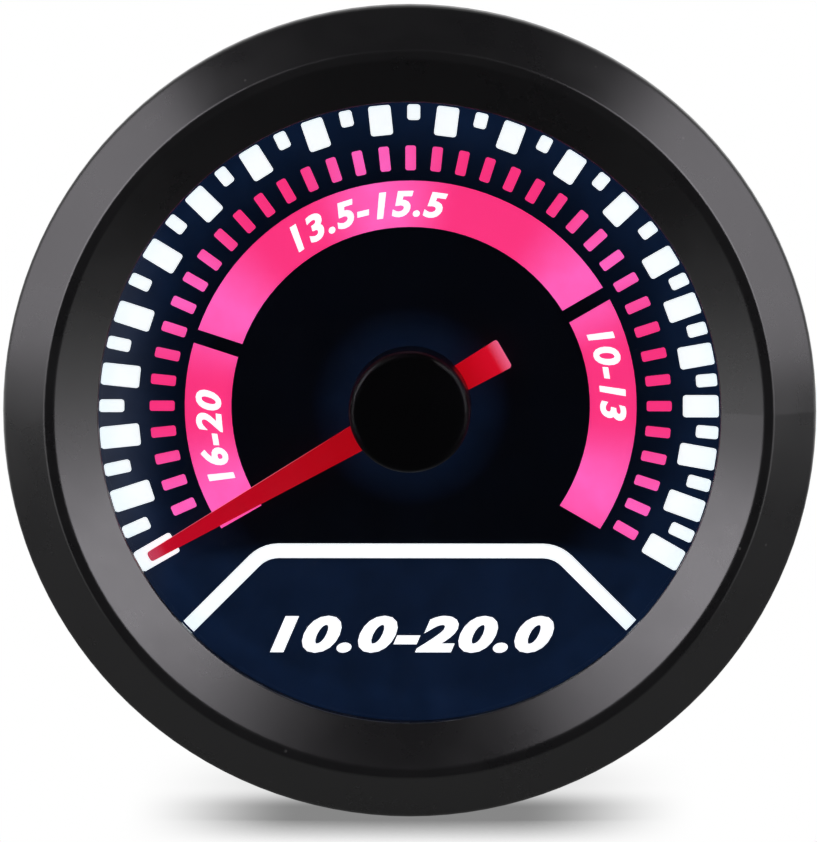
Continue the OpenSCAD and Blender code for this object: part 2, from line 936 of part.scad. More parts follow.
module arm_tunnel(from, to) {
    translate([from - over, -arm_w / 2, -stator_t / 2])
        cube([to - from + 2 * over, arm_w, stator_t]);
}

module coil_bobbins() {
    core = arm_w / 2 + bobbin_wall;
    color("#2b2b2e") face_forward()
        at_each_arm()
            difference() {
                union() {
                    arm_block(0, coil_l, core, bobbin_wall / 2);
                    arm_block(0, bobbin_flange_t, coil_half, bobbin_wall);
                    arm_block(coil_l - bobbin_flange_t, coil_l, coil_half, bobbin_wall);
                }
                arm_tunnel(0, coil_l);
            }
}

module coil_windings() {
    core = arm_w / 2 + bobbin_wall;
    color("#b5622d") face_forward()
        at_each_arm()
            difference() {
                arm_block(bobbin_flange_t, coil_l - bobbin_flange_t, coil_half - winding_margin, core / 2);
                arm_block(0, coil_l, core, bobbin_wall / 2);
            }
}

module rotor_magnet() {
    color("#4a4c50") face_forward()
        translate([0, rotor_y, 0]) slab(magnet_top, magnet_l) ring(magnet_r, arbor_r);
}

module rotor_pinion() {
    back = case_back + case_t - pivot_l;
    front = case_front - case_t + pivot_l;
    leaf_front = mid_wheel_top + mesh_over;
    color("#c9a34a") face_forward()
        translate([0, rotor_y, 0]) {
            translate([0, 0, back]) cylinder(r = pivot_r, h = front - back);
            slab(leaf_front, leaf_front - rotor_leaf_back)
                polygon(wheel_outline(leaf_n, leaf_add, leaf_ded, leaf_width, rotor_angle + 180 + 180 / leaf_n));
            translate([0, 0, magnet_top]) cylinder(r = collar_r, h = rotor_leaf_back - magnet_top);
            translate([0, 0, magnet_top - magnet_l]) cylinder(r = arbor_r, h = magnet_l);
        }
}

// Lightening holes around a wheel's hub
module wheel_holes(pitch_r) {
    for (i = [0:wheel_hole_n - 1]) {
        at_polar(pitch_r * wheel_hole_pos_share, 360 * i / wheel_hole_n) circle(pitch_r * wheel_hole_share);
    }
}

module intermediate_gear() {
    back = mid_wheel_back - turn_gap - pivot_l;
    front = case_front - case_t + pivot_l;
    color("#efe9d6") face_forward()
        translate([mid_x, mid_y, 0]) {
            translate([0, 0, back]) cylinder(r = pivot_r, h = front - back);
            slab(wheel_top, wheel_top - mid_wheel_top)
                polygon(wheel_outline(leaf_n, leaf_add, leaf_ded, leaf_width, mid_angle + 180 + 180 / leaf_n));
            slab(mid_wheel_top, gear_t)
                difference() {
                    polygon(wheel_outline(mid_teeth, wheel_add, wheel_ded, wheel_width, rotor_angle));
                    wheel_holes(gear_m * mid_teeth / 2);
                }
        }
}

module output_gear() {
    color("#e9e4d2") face_forward()
        difference() {
            union() {
                slab(wheel_top, gear_t)
                    difference() {
                        polygon(wheel_outline(out_teeth, wheel_add, wheel_ded, wheel_width, mid_angle));
                        wheel_holes(gear_m * out_teeth / 2);
                    }
                slab(wheel_top + turn_gap / 2, gear_t + turn_gap) circle(hub_r);
            }
            translate([0, 0, wheel_back - over]) cylinder(r = shaft_r, h = gear_t + turn_gap + 2 * over);
        }
}

module pointer_shaft() {
    pivot_back = case_back + case_t + 2 * drop_fit;
    step = wheel_back - turn_gap / 2;
    color("#c4c6ca") face_forward() {
        translate([0, 0, pivot_back]) cylinder(r = rear_pivot_r, h = step - pivot_back);
        translate([0, 0, step]) cylinder(r = shaft_r, h = shaft_top - step);
    }
}

// Pointer

module blade_plan() {
    polygon(rounded([
        [-tail_r, -tail_w / 2, tip_round],
        [-blade_start, -tail_neck_w / 2, 0],
        [blade_start, -blade_w / 2, 0],
        [pointer_r, -tip_w / 2, tip_round],
        [pointer_r, tip_w / 2, tip_round],
        [blade_start, blade_w / 2, 0],
        [-blade_start, tail_neck_w / 2, 0],
        [-tail_r, tail_w / 2, tip_round]
    ], window_steps));
}

// Side view of the blade, which thins towards the tip
module blade_side() {
    polygon([
        [-tail_r, blade_back],
        [pointer_r, blade_back],
        [pointer_r, blade_back + tip_t],
        [blade_start, blade_top],
        [-tail_r, blade_top]
    ]);
}

module pointer() {
    color("#e0152c") face_forward() rotate(scale_start)
        difference() {
            union() {
                intersection() {
                    translate([0, 0, blade_back - over]) linear_extrude(blade_top - blade_back + 2 * over) blade_plan();
                    rotate([90, 0, 0]) linear_extrude(2 * tail_w, center = true) blade_side();
                }
                slab(blade_top, hub_plate_t) circle(pointer_hub_r);
                slab(hub_back, pointer_boss_l) circle(pointer_boss_r);
            }
            translate([0, 0, hub_back - pointer_boss_l - over])
                cylinder(r = shaft_r, h = pointer_boss_l + hub_plate_t + 2 * over);
        }
}

module hub_cap() {
    cap_r = cap_d / 2;
    skirt_back = blade_top - cap_skirt;
    color("#0e0e10") face_forward() rotate(scale_start)
        difference() {
            rotate_extrude()
                polygon(rounded([
                    [shaft_r, blade_top, 0],
                    [cap_boss_r, blade_top, 0],
                    [cap_boss_r, cap_top - cap_wall, 0],
                    [cap_r - cap_wall, cap_top - cap_wall, 0],
                    [cap_r - cap_wall, skirt_back, 0],
                    [cap_r, skirt_back, 0],
                    [cap_r, cap_top, cap_round],
                    [0, cap_top, 0],
                    [0, shaft_top + drop_fit, 0],
                    [shaft_r, shaft_top + drop_fit, 0]
                ]));
            translate([-cap_d, -tail_w / 2 - drop_fit, skirt_back - over])
                cube([2 * cap_d, tail_w + 2 * drop_fit, cap_skirt + over]);
        }
}

// Boards behind the movement

module square_pins(front, back) {
    translate([-pin_w / 2, -pin_w / 2, back]) cube([pin_w, pin_w, front - back]);
}

module movement_terminals() {
    color("#d8c274") face_forward()
        at_each(terminal_places)
            square_pins(case_back + case_t + terminal_rise, main_board_back - pin_tail);
}

module link_header() {
    color("#17171a") face_forward()
        translate([-link_l / 2, -link_y - link_w / 2, ledge_top - link_h])
            difference() {
                cube([link_l, link_w, link_h]);
                translate([link_l / 2, link_w / 2, 0])
                    pin_row(link_n, link_pitch) square_pins(link_h + over, -over);
            }
}

module link_pins() {
    color("#d8c274") face_forward()
        link_places() square_pins(lamp_board_top, main_board_back - pin_tail);
}

module board_standoffs() {
    color("#c8a548") face_forward()
        for (p = standoff_places) {
            translate(concat(p, main_board_top))
                difference() {
                    union() {
                        cylinder(r = standoff_hex_r, h = standoff_l, $fn = 6);
                        cylinder(r = standoff_spigot_r, h = standoff_l + lamp_board_t);
                    }
                    translate([0, 0, -over]) cylinder(r = standoff_bore_r, h = board_screw_l + over);
                }
        }
}

module board_screws() {
    color("#b9bcc0") face_forward()
        for (p = standoff_places) {
            translate(concat(p, main_board_back)) pan_screw(standoff_bore_r, board_screw_l + main_board_t - drop_fit);
        }
}

module main_board() {
    color("#1e6b3a") face_forward()
        slab(main_board_top, main_board_t)
            difference() {
                circle(main_board_r);
                at_each(standoff_places) circle(standoff_bore_r + drop_fit);
                at_each(terminal_places) circle(pin_hole_r);
                link_places() circle(pin_hole_r);
                translate([0, -connector_y]) pin_row(connector_n, link_pitch) circle(pin_hole_r);
            }
}

// A flat package lying on the main board's rear face
module package(share, size) {
    place = share * main_board_r - [size.x, size.y] / 2;
    translate([place.x, place.y, main_board_back - size.z]) cube(size);
}

module control_chips() {
    color("#202226") face_forward() {
        package(controller_share, [controller_w, controller_w, controller_t]);
        package(driver_share, [driver_l, driver_w, driver_t]);
        package(regulator_share, [regulator_l, regulator_w, regulator_t]);
    }
}

module filter_capacitors() {
    color("#9aa0a8") face_forward()
        for (p = places(capacitor_shares, board_half)) {
            translate(concat(p, main_board_back - capacitor_h)) cylinder(r = capacitor_r, h = capacitor_h);
        }
}

module connector_shell() {
    outer = [connector_l, connector_w];
    inner = outer - 2 * [connector_wall, connector_wall];
    key = [connector_key_w, connector_key_t];
    color("#e8e6dc") face_forward()
        translate([0, -connector_y, 0])
            difference() {
                union() {
                    slab(main_board_back, main_board_back - connector_back)
                        difference() {
                            square(outer, center = true);
                            square(inner, center = true);
                        }
                    slab(main_board_back, connector_base) square(outer, center = true);
                    slab(main_board_back, main_board_back - connector_back - connector_key_drop)
                        translate([-key.x / 2, inner.y / 2 - key.y]) square([key.x, key.y + connector_wall / 2]);
                }
                pin_row(connector_n, link_pitch)
                    square_pins(main_board_back + over, main_board_back - connector_base - over);
            }
}

module connector_pins() {
    color("#d8c274") face_forward()
        translate([0, -connector_y, 0])
            pin_row(connector_n, link_pitch)
                square_pins(main_board_top + pin_tail, main_board_back - connector_base - connector_pin_l);
}

// Can, rear cover and mounting hardware

module cover_screw_places() {
    for (a = cover_screw_angles) {
        translate(polar(boss_pos, a)) children();
    }
}

module can() {
    color("#151517") face_forward()
        difference() {
            union() {
                rotate_extrude()
                    polygon([
                        [can_r, -can_l],
                        [can_r, lug_t],
                        [flange_r, lug_t],
                        [flange_r, flange_top],
                        [can_in, flange_top],
                        [can_in, ledge_top],
                        [ledge_r, ledge_top],
                        [ledge_r, -can_l]
                    ]);
                cover_screw_places() translate([0, 0, -can_l]) cylinder(r = boss_r, h = boss_l);
            }
            cover_screw_places()
                translate([0, 0, -can_l - over]) cylinder(r = screw_r, h = screw_l + over);
        }
}

module rear_cover() {
    color("#18181a") face_forward()
        difference() {
            union() {
                rotate_extrude()
                    polygon([
                        [0, cover_back],
                        [can_r - cover_chamfer, cover_back],
                        [can_r, cover_back + cover_chamfer],
                        [can_r, -can_l],
                        [0, -can_l]
                    ]);
                slab(-can_l + spigot_h, spigot_h)
                    difference() {
                        ring(ledge_r - drop_fit, ledge_r - drop_fit - spigot_t);
                        cover_screw_places() circle(boss_r + drop_fit);
                    }
            }
            cover_screw_places()
                translate([0, 0, cover_back - over]) cylinder(r = screw_hole_r, h = cover_t + 2 * over);
            at_studs()
                translate([0, 0, cover_back - over]) cylinder(r = stud_r, h = cover_t + 2 * over);
            translate([
                -connector_l / 2 - drop_fit,
                -connector_y - connector_w / 2 - drop_fit,
                cover_back - over
            ])
                cube([connector_l + 2 * drop_fit, connector_w + 2 * drop_fit, cover_t + 2 * over]);
        }
}

module cover_screws() {
    color("#b4b7bb") face_forward()
        cover_screw_places()
            translate([0, 0, cover_back]) pan_screw(screw_r, cover_t + screw_l - drop_fit);
}

module at_studs() {
    for (side = [-1, 1]) {
        translate([side * stud_x, 0, 0]) children();
    }
}

module mounting_studs() {
    color("#b9bcc2") face_forward()
        at_studs() {
            translate([0, 0, -can_l]) cylinder(r = stud_head_r, h = stud_head_t);
            translate([0, 0, cover_back - stud_l])
                cylinder(r1 = stud_r - stud_chamfer, r2 = stud_r, h = stud_chamfer);
            translate([0, 0, cover_back - stud_l + stud_chamfer])
                cylinder(r = stud_r, h = stud_l + cover_t - stud_chamfer);
        }
}

module mounting_bracket() {
    color("#a9adb2") face_forward()
        difference() {
            rotate([90, 0, 0])
                linear_extrude(bracket_w, center = true)
                    polygon(rounded([
                        [-bracket_out, -panel_gap, foot_round],
                        [-bracket_out, bracket_back, bend_out],
                        [bracket_out, bracket_back, bend_out],
                        [bracket_out, -panel_gap, foot_round],
                        [bracket_in, -panel_gap, 0],
                        [bracket_in, cover_back, bend_in],
                        [-bracket_in, cover_back, bend_in],
                        [-bracket_in, -panel_gap, 0]
                    ]));
            at_studs()
                translate([0, 0, bracket_back - over])
                    cylinder(r = stud_r + drop_fit, h = bracket_t + 2 * over);
        }
}

module lock_washers() {
    color("#c8cacd") face_forward()
        at_studs()
            slab(bracket_back, washer_t)
                difference() {
                    ring(washer_r, stud_r + drop_fit);
                    translate([0, -washer_slot / 2]) square([washer_r + over, washer_slot]);
                }
}

// A hexagon nut with its corners turned down on both faces
module stud_nuts() {
    nut_back = bracket_back - washer_t - nut_t;
    face_r = nut_r - nut_chamfer / tan(nut_chamfer_angle);
    color("#bfc2c6") face_forward()
        at_studs()
            translate([0, 0, nut_back])
                difference() {
                    intersection() {
                        cylinder(r = nut_r, h = nut_t, $fn = 6);
                        rotate_extrude()
                            polygon([
                                [0, 0],
                                [face_r, 0],
                                [nut_r, nut_chamfer],
                                [nut_r, nut_t - nut_chamfer],
                                [face_r, nut_t],
                                [0, nut_t]
                            ]);
                    }
                    translate([0, 0, -over]) cylinder(r = stud_r, h = nut_t + 2 * over);
                }
}

bezel_ring();
lens();
lens_gasket();
dial_hood();
dial_mask();
white_film();
red_film();
light_guide();
light_box();
lamp_board();
white_lamps();
red_lamps();
movement_front_case();
movement_rear_case();
stator();
coil_bobbins();
coil_windings();
rotor_magnet();
rotor_pinion();
intermediate_gear();
output_gear();
pointer_shaft();
pointer();
hub_cap();
movement_terminals();
link_header();
link_pins();
board_standoffs();
board_screws();
main_board();
control_chips();
filter_capacitors();
connector_shell();
connector_pins();
can();
rear_cover();
cover_screws();
mounting_studs();
mounting_bracket();
lock_washers();
stud_nuts();
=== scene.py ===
"""Looks of a lit air fuel ratio gauge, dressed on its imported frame.

The gauge's axis is the frame's Y axis: the dial looks towards -Y, up is +Z and right is +X.
Lengths are in metres, and a name that ends in _mm holds millimetres. Angles on the dial run
anticlockwise from the right, as the driver sees it.
"""

import logging
import math
from abc import ABC, abstractmethod
from dataclasses import dataclass, field
from enum import Enum

import bmesh
import bpy
import numpy as np
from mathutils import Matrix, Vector

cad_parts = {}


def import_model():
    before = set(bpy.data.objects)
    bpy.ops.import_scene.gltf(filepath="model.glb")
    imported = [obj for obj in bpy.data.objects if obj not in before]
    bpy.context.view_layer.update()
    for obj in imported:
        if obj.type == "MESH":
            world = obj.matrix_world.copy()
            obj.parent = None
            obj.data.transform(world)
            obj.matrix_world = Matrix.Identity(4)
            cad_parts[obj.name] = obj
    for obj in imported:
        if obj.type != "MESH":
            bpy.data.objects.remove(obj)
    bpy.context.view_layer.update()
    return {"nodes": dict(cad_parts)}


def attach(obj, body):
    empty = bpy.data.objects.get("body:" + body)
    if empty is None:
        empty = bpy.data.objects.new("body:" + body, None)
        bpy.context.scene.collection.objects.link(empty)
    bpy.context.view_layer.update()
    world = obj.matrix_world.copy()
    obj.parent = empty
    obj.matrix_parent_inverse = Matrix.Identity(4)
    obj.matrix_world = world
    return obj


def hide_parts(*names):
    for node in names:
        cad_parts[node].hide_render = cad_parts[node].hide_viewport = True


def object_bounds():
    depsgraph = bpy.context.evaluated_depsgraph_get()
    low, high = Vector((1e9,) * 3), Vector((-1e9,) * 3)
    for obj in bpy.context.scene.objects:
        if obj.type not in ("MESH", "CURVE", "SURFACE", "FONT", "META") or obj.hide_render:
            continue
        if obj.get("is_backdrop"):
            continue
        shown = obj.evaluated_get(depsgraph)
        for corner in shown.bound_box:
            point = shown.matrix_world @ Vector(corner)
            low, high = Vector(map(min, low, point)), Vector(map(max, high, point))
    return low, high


LOG = logging.getLogger("gauge")
MM = 0.001
FRAME_PX = (817, 842)
SENSOR_MM = 36.0

Colour = tuple[float, float, float]
Place = tuple[float, float, float]
Socket = bpy.types.NodeSocket
Feed = float | Colour | Socket


class Body(Enum):
    """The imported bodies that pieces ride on."""

    HOUSING = "housing"


class Lay(Enum):
    """The way that the fine lines of a metal surface run, as a stretch along X, Y and Z."""

    ALONG_X = (0.04, 1.0, 1.0)
    ALONG_Y = (1.0, 0.04, 1.0)
    NONE = (1.0, 1.0, 1.0)


class Graph:
    """Adds nodes to one node tree and joins them."""

    def __init__(self, tree: bpy.types.NodeTree) -> None:
        """Keeps the tree that the nodes go into."""
        self.tree = tree

    def put(self, socket: Socket, value: Feed) -> None:
        """Feeds a socket from another one, or sets its plain value.

        Args:
            socket: The input to feed.
            value: An output socket, a number or a colour.
        """
        if isinstance(value, bpy.types.NodeSocket):
            self.tree.links.new(value, socket)
        elif isinstance(value, tuple) and socket.type == "RGBA":
            socket.default_value = (*value[:3], 1.0)
        else:
            socket.default_value = value

    def add(
        self, kind: str, feeds: dict[str | int, Feed] | None = None, **settings: object
    ) -> bpy.types.Node:
        """Adds a node with its settings and what feeds it.

        Args:
            kind: The node's type.
            feeds: Values or sockets by the name or number of the input.
            settings: Properties of the node itself.

        Returns:
            The new node.
        """
        node = self.tree.nodes.new(kind)
        for name, value in settings.items():
            setattr(node, name, value)
        for name, value in (feeds or {}).items():
            self.put(node.inputs[name], value)
        return node

    def math(self, operation: str, *terms: Feed, clamp: bool = False) -> Socket:
        """One arithmetic step.

        Args:
            operation: The operation's name.
            terms: Its one, two or three terms.
            clamp: Whether the result is held between 0 and 1.

        Returns:
            The result's socket.
        """
        feeds = dict(enumerate(terms))
        return self.add("ShaderNodeMath", feeds, operation=operation, use_clamp=clamp).outputs[0]

    def step(self, value: Feed, start: float, end: float, low: float = 0.0, high: float = 1.0) -> Socket:
        """A smooth rise or fall of a value.

        Args:
            value: What is measured.
            start: Where the change starts.
            end: Where it ends.
            low: The result up to start.
            high: The result from end on.

        Returns:
            The result's socket.
        """
        feeds = {"Value": value, "From Min": start, "From Max": end, "To Min": low, "To Max": high}
        return self.add("ShaderNodeMapRange", feeds, interpolation_type="SMOOTHSTEP").outputs[0]

    def blend(self, share: Feed, first: Feed, second: Feed) -> Socket:
        """A mix of two colours.

        Args:
            share: How much of the second, from 0 to 1.
            first: The first colour.
            second: The second colour.

        Returns:
            The mixed colour's socket.
        """
        return self.add("ShaderNodeMix", {0: share, 6: first, 7: second}, data_type="RGBA").outputs[2]

    def ramp(self, value: Feed, stops: tuple[tuple[float, Colour], ...]) -> Socket:
        """A colour that follows a value.

        Args:
            value: The value, from 0 to 1.
            stops: Places and their colours, in rising order.

        Returns:
            The colour's socket.
        """
        node = self.add("ShaderNodeValToRGB", {0: value})
        marks = node.color_ramp.elements
        while len(marks) < len(stops):
            marks.new(0.5)
        for mark, (place, colour) in zip(marks, stops):
            mark.position = place
            mark.color = (*colour, 1.0)
        return node.outputs[0]

    def noise(self, place: Feed, scale: Feed, detail: float = 3.0, rough: float = 0.5) -> Socket:
        """A soft random pattern from 0 to 1.

        Args:
            place: The point.
            scale: Spots per metre.
            detail: Octaves of finer spots.
            rough: Weight of the finer spots.

        Returns:
            The pattern's socket.
        """
        feeds = {"Vector": place, "Scale": scale, "Detail": detail, "Roughness": rough}
        return self.add("ShaderNodeTexNoise", feeds).outputs[0]

    def place(self, centre_mm: Place = (0.0, 0.0, 0.0), stretch: Place = (1.0, 1.0, 1.0)) -> Socket:
        """Where a point of the piece lies, from a centre.

        Args:
            centre_mm: The pattern's centre.
            stretch: The scale along X, Y and Z.

        Returns:
            The vector's socket.
        """
        own = self.add("ShaderNodeTexCoord").outputs["Object"]
        if centre_mm == (0.0, 0.0, 0.0) and stretch == (1.0, 1.0, 1.0):
            return own
        shift = tuple(-c * MM * s for c, s in zip(centre_mm, stretch))
        feeds = {"Vector": own, "Location": shift, "Scale": stretch}
        return self.add("ShaderNodeMapping", feeds).outputs[0]


class Effects:
    """The shader node groups that several finishes share, each built once."""

    def __init__(self) -> None:
        """Starts with no group built."""
        self.groups: dict[str, bpy.types.NodeTree] = {}

    def start(
        self, name: str, takes: dict[str, str], gives: dict[str, str]
    ) -> tuple[Graph, dict[str, Socket], bpy.types.Node]:
        """Begins a group.

        Args:
            name: The group's name.
            takes: Its inputs and their kinds.
            gives: Its outputs and their kinds.

        Returns:
            The group's graph, its input sockets by name, and its output node.
        """
        tree = bpy.data.node_groups.new(name, "ShaderNodeTree")
        for names, way in ((takes, "INPUT"), (gives, "OUTPUT")):
            for socket, kind in names.items():
                tree.interface.new_socket(socket, in_out=way, socket_type="NodeSocket" + kind)
        graph = Graph(tree)
        inlet = graph.add("NodeGroupInput")
        self.groups[name] = tree
        return graph, {s.name: s for s in inlet.outputs if s.name}, graph.add("NodeGroupOutput")

    def use(self, graph: Graph, name: str, **feeds: Feed) -> dict[str, Socket]:
        """Places a group in a material.

        Args:
            graph: The material's graph.
            name: The name of the method that builds the group.
            feeds: What goes into its inputs.

        Returns:
            Its output sockets by name.
        """
        if name not in self.groups:
            getattr(self, name)()
        node = graph.add("ShaderNodeGroup", node_tree=self.groups[name])
        for socket, value in feeds.items():
            graph.put(node.inputs[socket], value)
        return {s.name: s for s in node.outputs}

    def grain(self) -> None:
        """Fine moulded grain: a height of small pits, and a slow tone of flow marks."""
        graph, given, out = self.start(
            "grain", {"Place": "Vector", "Size": "Float"}, {"Height": "Float", "Tone": "Float"}
        )
        fine = graph.math("DIVIDE", 1.0, given["Size"])
        feeds = {"Vector": given["Place"], "Scale": fine}
        pits = graph.add("ShaderNodeTexVoronoi", feeds, feature="SMOOTH_F1")
        cloud = graph.noise(given["Place"], fine, 4.0, 0.6)
        graph.put(out.inputs["Height"], graph.math("MULTIPLY_ADD", pits.outputs[0], 0.6, cloud))
        slow = graph.math("MULTIPLY", fine, 0.035)
        graph.put(out.inputs["Tone"], graph.noise(given["Place"], slow, 5.0, 0.62))

    def edges(self) -> None:
        """Outer edges: a mask that is 1 on a bend, and a normal that rounds the bend over."""
        graph, given, out = self.start("edges", {"Width": "Float"}, {"Mask": "Float", "Normal": "Vector"})
        soft = graph.add("ShaderNodeBevel", {"Radius": given["Width"]}, samples=6).outputs[0]
        flat = graph.add("ShaderNodeNewGeometry").outputs["Normal"]
        along = graph.add("ShaderNodeVectorMath", {0: soft, 1: flat}, operation="DOT_PRODUCT")
        along = along.outputs["Value"]
        graph.put(out.inputs["Mask"], graph.step(along, 0.995, 0.86))
        graph.put(out.inputs["Normal"], soft)

    def dust(self) -> None:
        """Sparse specks of dust, more of them where the surface looks up."""
        graph, given, out = self.start("dust", {"Place": "Vector", "Amount": "Float"}, {"Mask": "Float"})
        cells = graph.add("ShaderNodeTexVoronoi", {"Vector": given["Place"], "Scale": 900.0})
        specks = graph.step(cells.outputs["Distance"], 0.14, 0.05)
        few = graph.step(graph.noise(given["Place"], 260.0, 2.0), 0.58, 0.72)
        up = graph.add("ShaderNodeSeparateXYZ", {0: graph.add("ShaderNodeNewGeometry").outputs["Normal"]})
        lying = graph.step(up.outputs["Z"], -0.6, 1.0, 0.25, 1.0)
        mask = graph.math("MULTIPLY", graph.math("MULTIPLY", specks, few), lying)
        graph.put(out.inputs["Mask"], graph.math("MULTIPLY", mask, given["Amount"]))

    def dial_place(self) -> None:
        """Distance from the gauge's axis, and the turn from straight down, clockwise from 0 to 1."""
        graph, given, out = self.start(
            "dial_place", {"Place": "Vector"}, {"Radius": "Float", "Turn": "Float"}
        )
        parts = graph.add("ShaderNodeSeparateXYZ", {0: given["Place"]})
        across, up = parts.outputs["X"], parts.outputs["Z"]
        squares = graph.math("ADD", graph.math("MULTIPLY", across, across), graph.math("MULTIPLY", up, up))
        graph.put(out.inputs["Radius"], graph.math("SQRT", squares))
        turn = graph.math("ARCTAN2", across, up)
        graph.put(out.inputs["Turn"], graph.math("MULTIPLY_ADD", turn, 1 / math.tau, 0.5))

    def turned(self) -> None:
        """Tool marks of a lathe: fine rings about the Y axis through the place given."""
        graph, given, out = self.start(
            "turned", {"Place": "Vector", "Pitch": "Float"}, {"Height": "Float", "Tone": "Float"}
        )
        spot = self.use(graph, "dial_place", Place=given["Place"])
        count = graph.math("DIVIDE", spot["Radius"], given["Pitch"])
        wave = graph.math("SINE", graph.math("MULTIPLY", count, math.tau))
        patchy = graph.noise(given["Place"], 700.0, 3.0)
        graph.put(out.inputs["Height"], graph.math("MULTIPLY", wave, patchy))
        graph.put(out.inputs["Tone"], patchy)

    def traces(self) -> None:
        """Copper traces and pads under the lacquer of a circuit board, as a mask."""
        graph, given, out = self.start("traces", {"Place": "Vector"}, {"Mask": "Float"})
        parts = graph.add("ShaderNodeSeparateXYZ", {0: given["Place"]})
        lines = []
        for axis in ("X", "Z"):
            cell = graph.math("FRACT", graph.math("MULTIPLY", parts.outputs[axis], 1100.0))
            lines.append(graph.math("COMPARE", cell, 0.5, 0.16))
        feeds = {"Vector": given["Place"], "Scale": 160.0}
        patch = graph.add("ShaderNodeTexVoronoi", feeds, distance="CHEBYCHEV")
        colour = graph.add("ShaderNodeSeparateColor", {0: patch.outputs["Color"]})
        way = graph.math("GREATER_THAN", colour.outputs[0], 0.5)
        run = graph.add("ShaderNodeMix", {0: way, 2: lines[0], 3: lines[1]}).outputs[0]
        used = graph.math("GREATER_THAN", colour.outputs[1], 0.45)
        pads = graph.math("LESS_THAN", patch.outputs["Distance"], 0.16)
        graph.put(out.inputs["Mask"], graph.math("MAXIMUM", graph.math("MULTIPLY", run, used), pads))


@dataclass(frozen=True)
class Finish(ABC):
    """A finish that dresses pieces, and whose material is built on first use."""

    name: str

    def plain(self) -> dict[str, float]:
        """Gives the shader values that are the same all over the surface."""
        return {}

    def material(self, effects: Effects) -> bpy.types.Material:
        """Gives the finish's material.

        Args:
            effects: The shared node groups.

        Returns:
            The material, built once.
        """
        title = self.name + "_finish"
        known = bpy.data.materials.get(title)
        if known is not None:
            return known
        made = bpy.data.materials.new(title)
        made.use_nodes = True
        made.node_tree.nodes.clear()
        graph = Graph(made.node_tree)
        shader = graph.add("ShaderNodeBsdfPrincipled")
        graph.put(graph.add("ShaderNodeOutputMaterial").inputs["Surface"], shader.outputs[0])
        for socket, value in self.plain().items():
            shader.inputs[socket].default_value = value
        self.paint(graph, shader, effects)
        return made

    @abstractmethod
    def paint(self, graph: Graph, shader: bpy.types.Node, effects: Effects) -> None:
        """Feeds the shader's sockets.

        Args:
            graph: The material's graph.
            shader: Its Principled BSDF.
            effects: The shared node groups.
        """

    @staticmethod
    def relief(
        graph: Graph, shader: bpy.types.Node, height: Socket, depth_mm: float, normal: Socket | None = None
    ) -> None:
        """Raises the surface by a height pattern.

        Args:
            graph: The material's graph.
            shader: Its Principled BSDF.
            height: The pattern.
            depth_mm: The height of its peaks.
            normal: A normal to start from.
        """
        bump = graph.add("ShaderNodeBump", {"Height": height, "Strength": 1.0, "Distance": depth_mm * MM})
        if normal is not None:
            graph.put(bump.inputs["Normal"], normal)
        graph.put(shader.inputs["Normal"], bump.outputs[0])


@dataclass(frozen=True)
class Moulded(Finish):
    """A moulded plastic or rubber with fine grain, flow marks, rounded edges with a painted highlight, and
    some dust.
    """

    colour: Colour
    roughness: float = 0.45
    grain_mm: float = 0.25
    depth_mm: float = 0.004
    edge_mm: float = 0.15
    mottle: float = 0.12
    dust: float = 0.0
    clear: float = 0.0
    index: float = 1.5

    def plain(self) -> dict[str, float]:
        """Gives the clearness and the refractive index."""
        return {"Transmission Weight": self.clear, "IOR": self.index}

    def paint(self, graph: Graph, shader: bpy.types.Node, effects: Effects) -> None:
        """Feeds colour, roughness and normal from grain, edges and dust.

        Args:
            graph: The material's graph.
            shader: Its Principled BSDF.
            effects: The shared node groups.
        """
        place = graph.place()
        grain = effects.use(graph, "grain", Place=place, Size=self.grain_mm * MM)
        edges = effects.use(graph, "edges", Width=self.edge_mm * MM)
        dark = tuple(c * (1 - self.mottle) for c in self.colour)
        light = tuple(c * (1 + self.mottle) for c in self.colour)
        colour = graph.blend(grain["Tone"], dark, light)
        # Every bend is painted lighter: a painted highlight along the edges.
        edge_highlight = tuple(min(1.0, c * 1.35 + 0.006) for c in self.colour)
        colour = graph.blend(graph.math("MULTIPLY", edges["Mask"], 0.5), colour, edge_highlight)
        if self.dust:
            specks = effects.use(graph, "dust", Place=place, Amount=self.dust)
            colour = graph.blend(specks["Mask"], colour, (0.32, 0.31, 0.30))
        graph.put(shader.inputs["Base Color"], colour)
        rough = graph.step(grain["Tone"], 0.3, 0.7, self.roughness * 0.9, self.roughness * 1.1)
        graph.put(shader.inputs["Roughness"], rough)
        self.relief(graph, shader, grain["Height"], self.depth_mm, edges["Normal"])


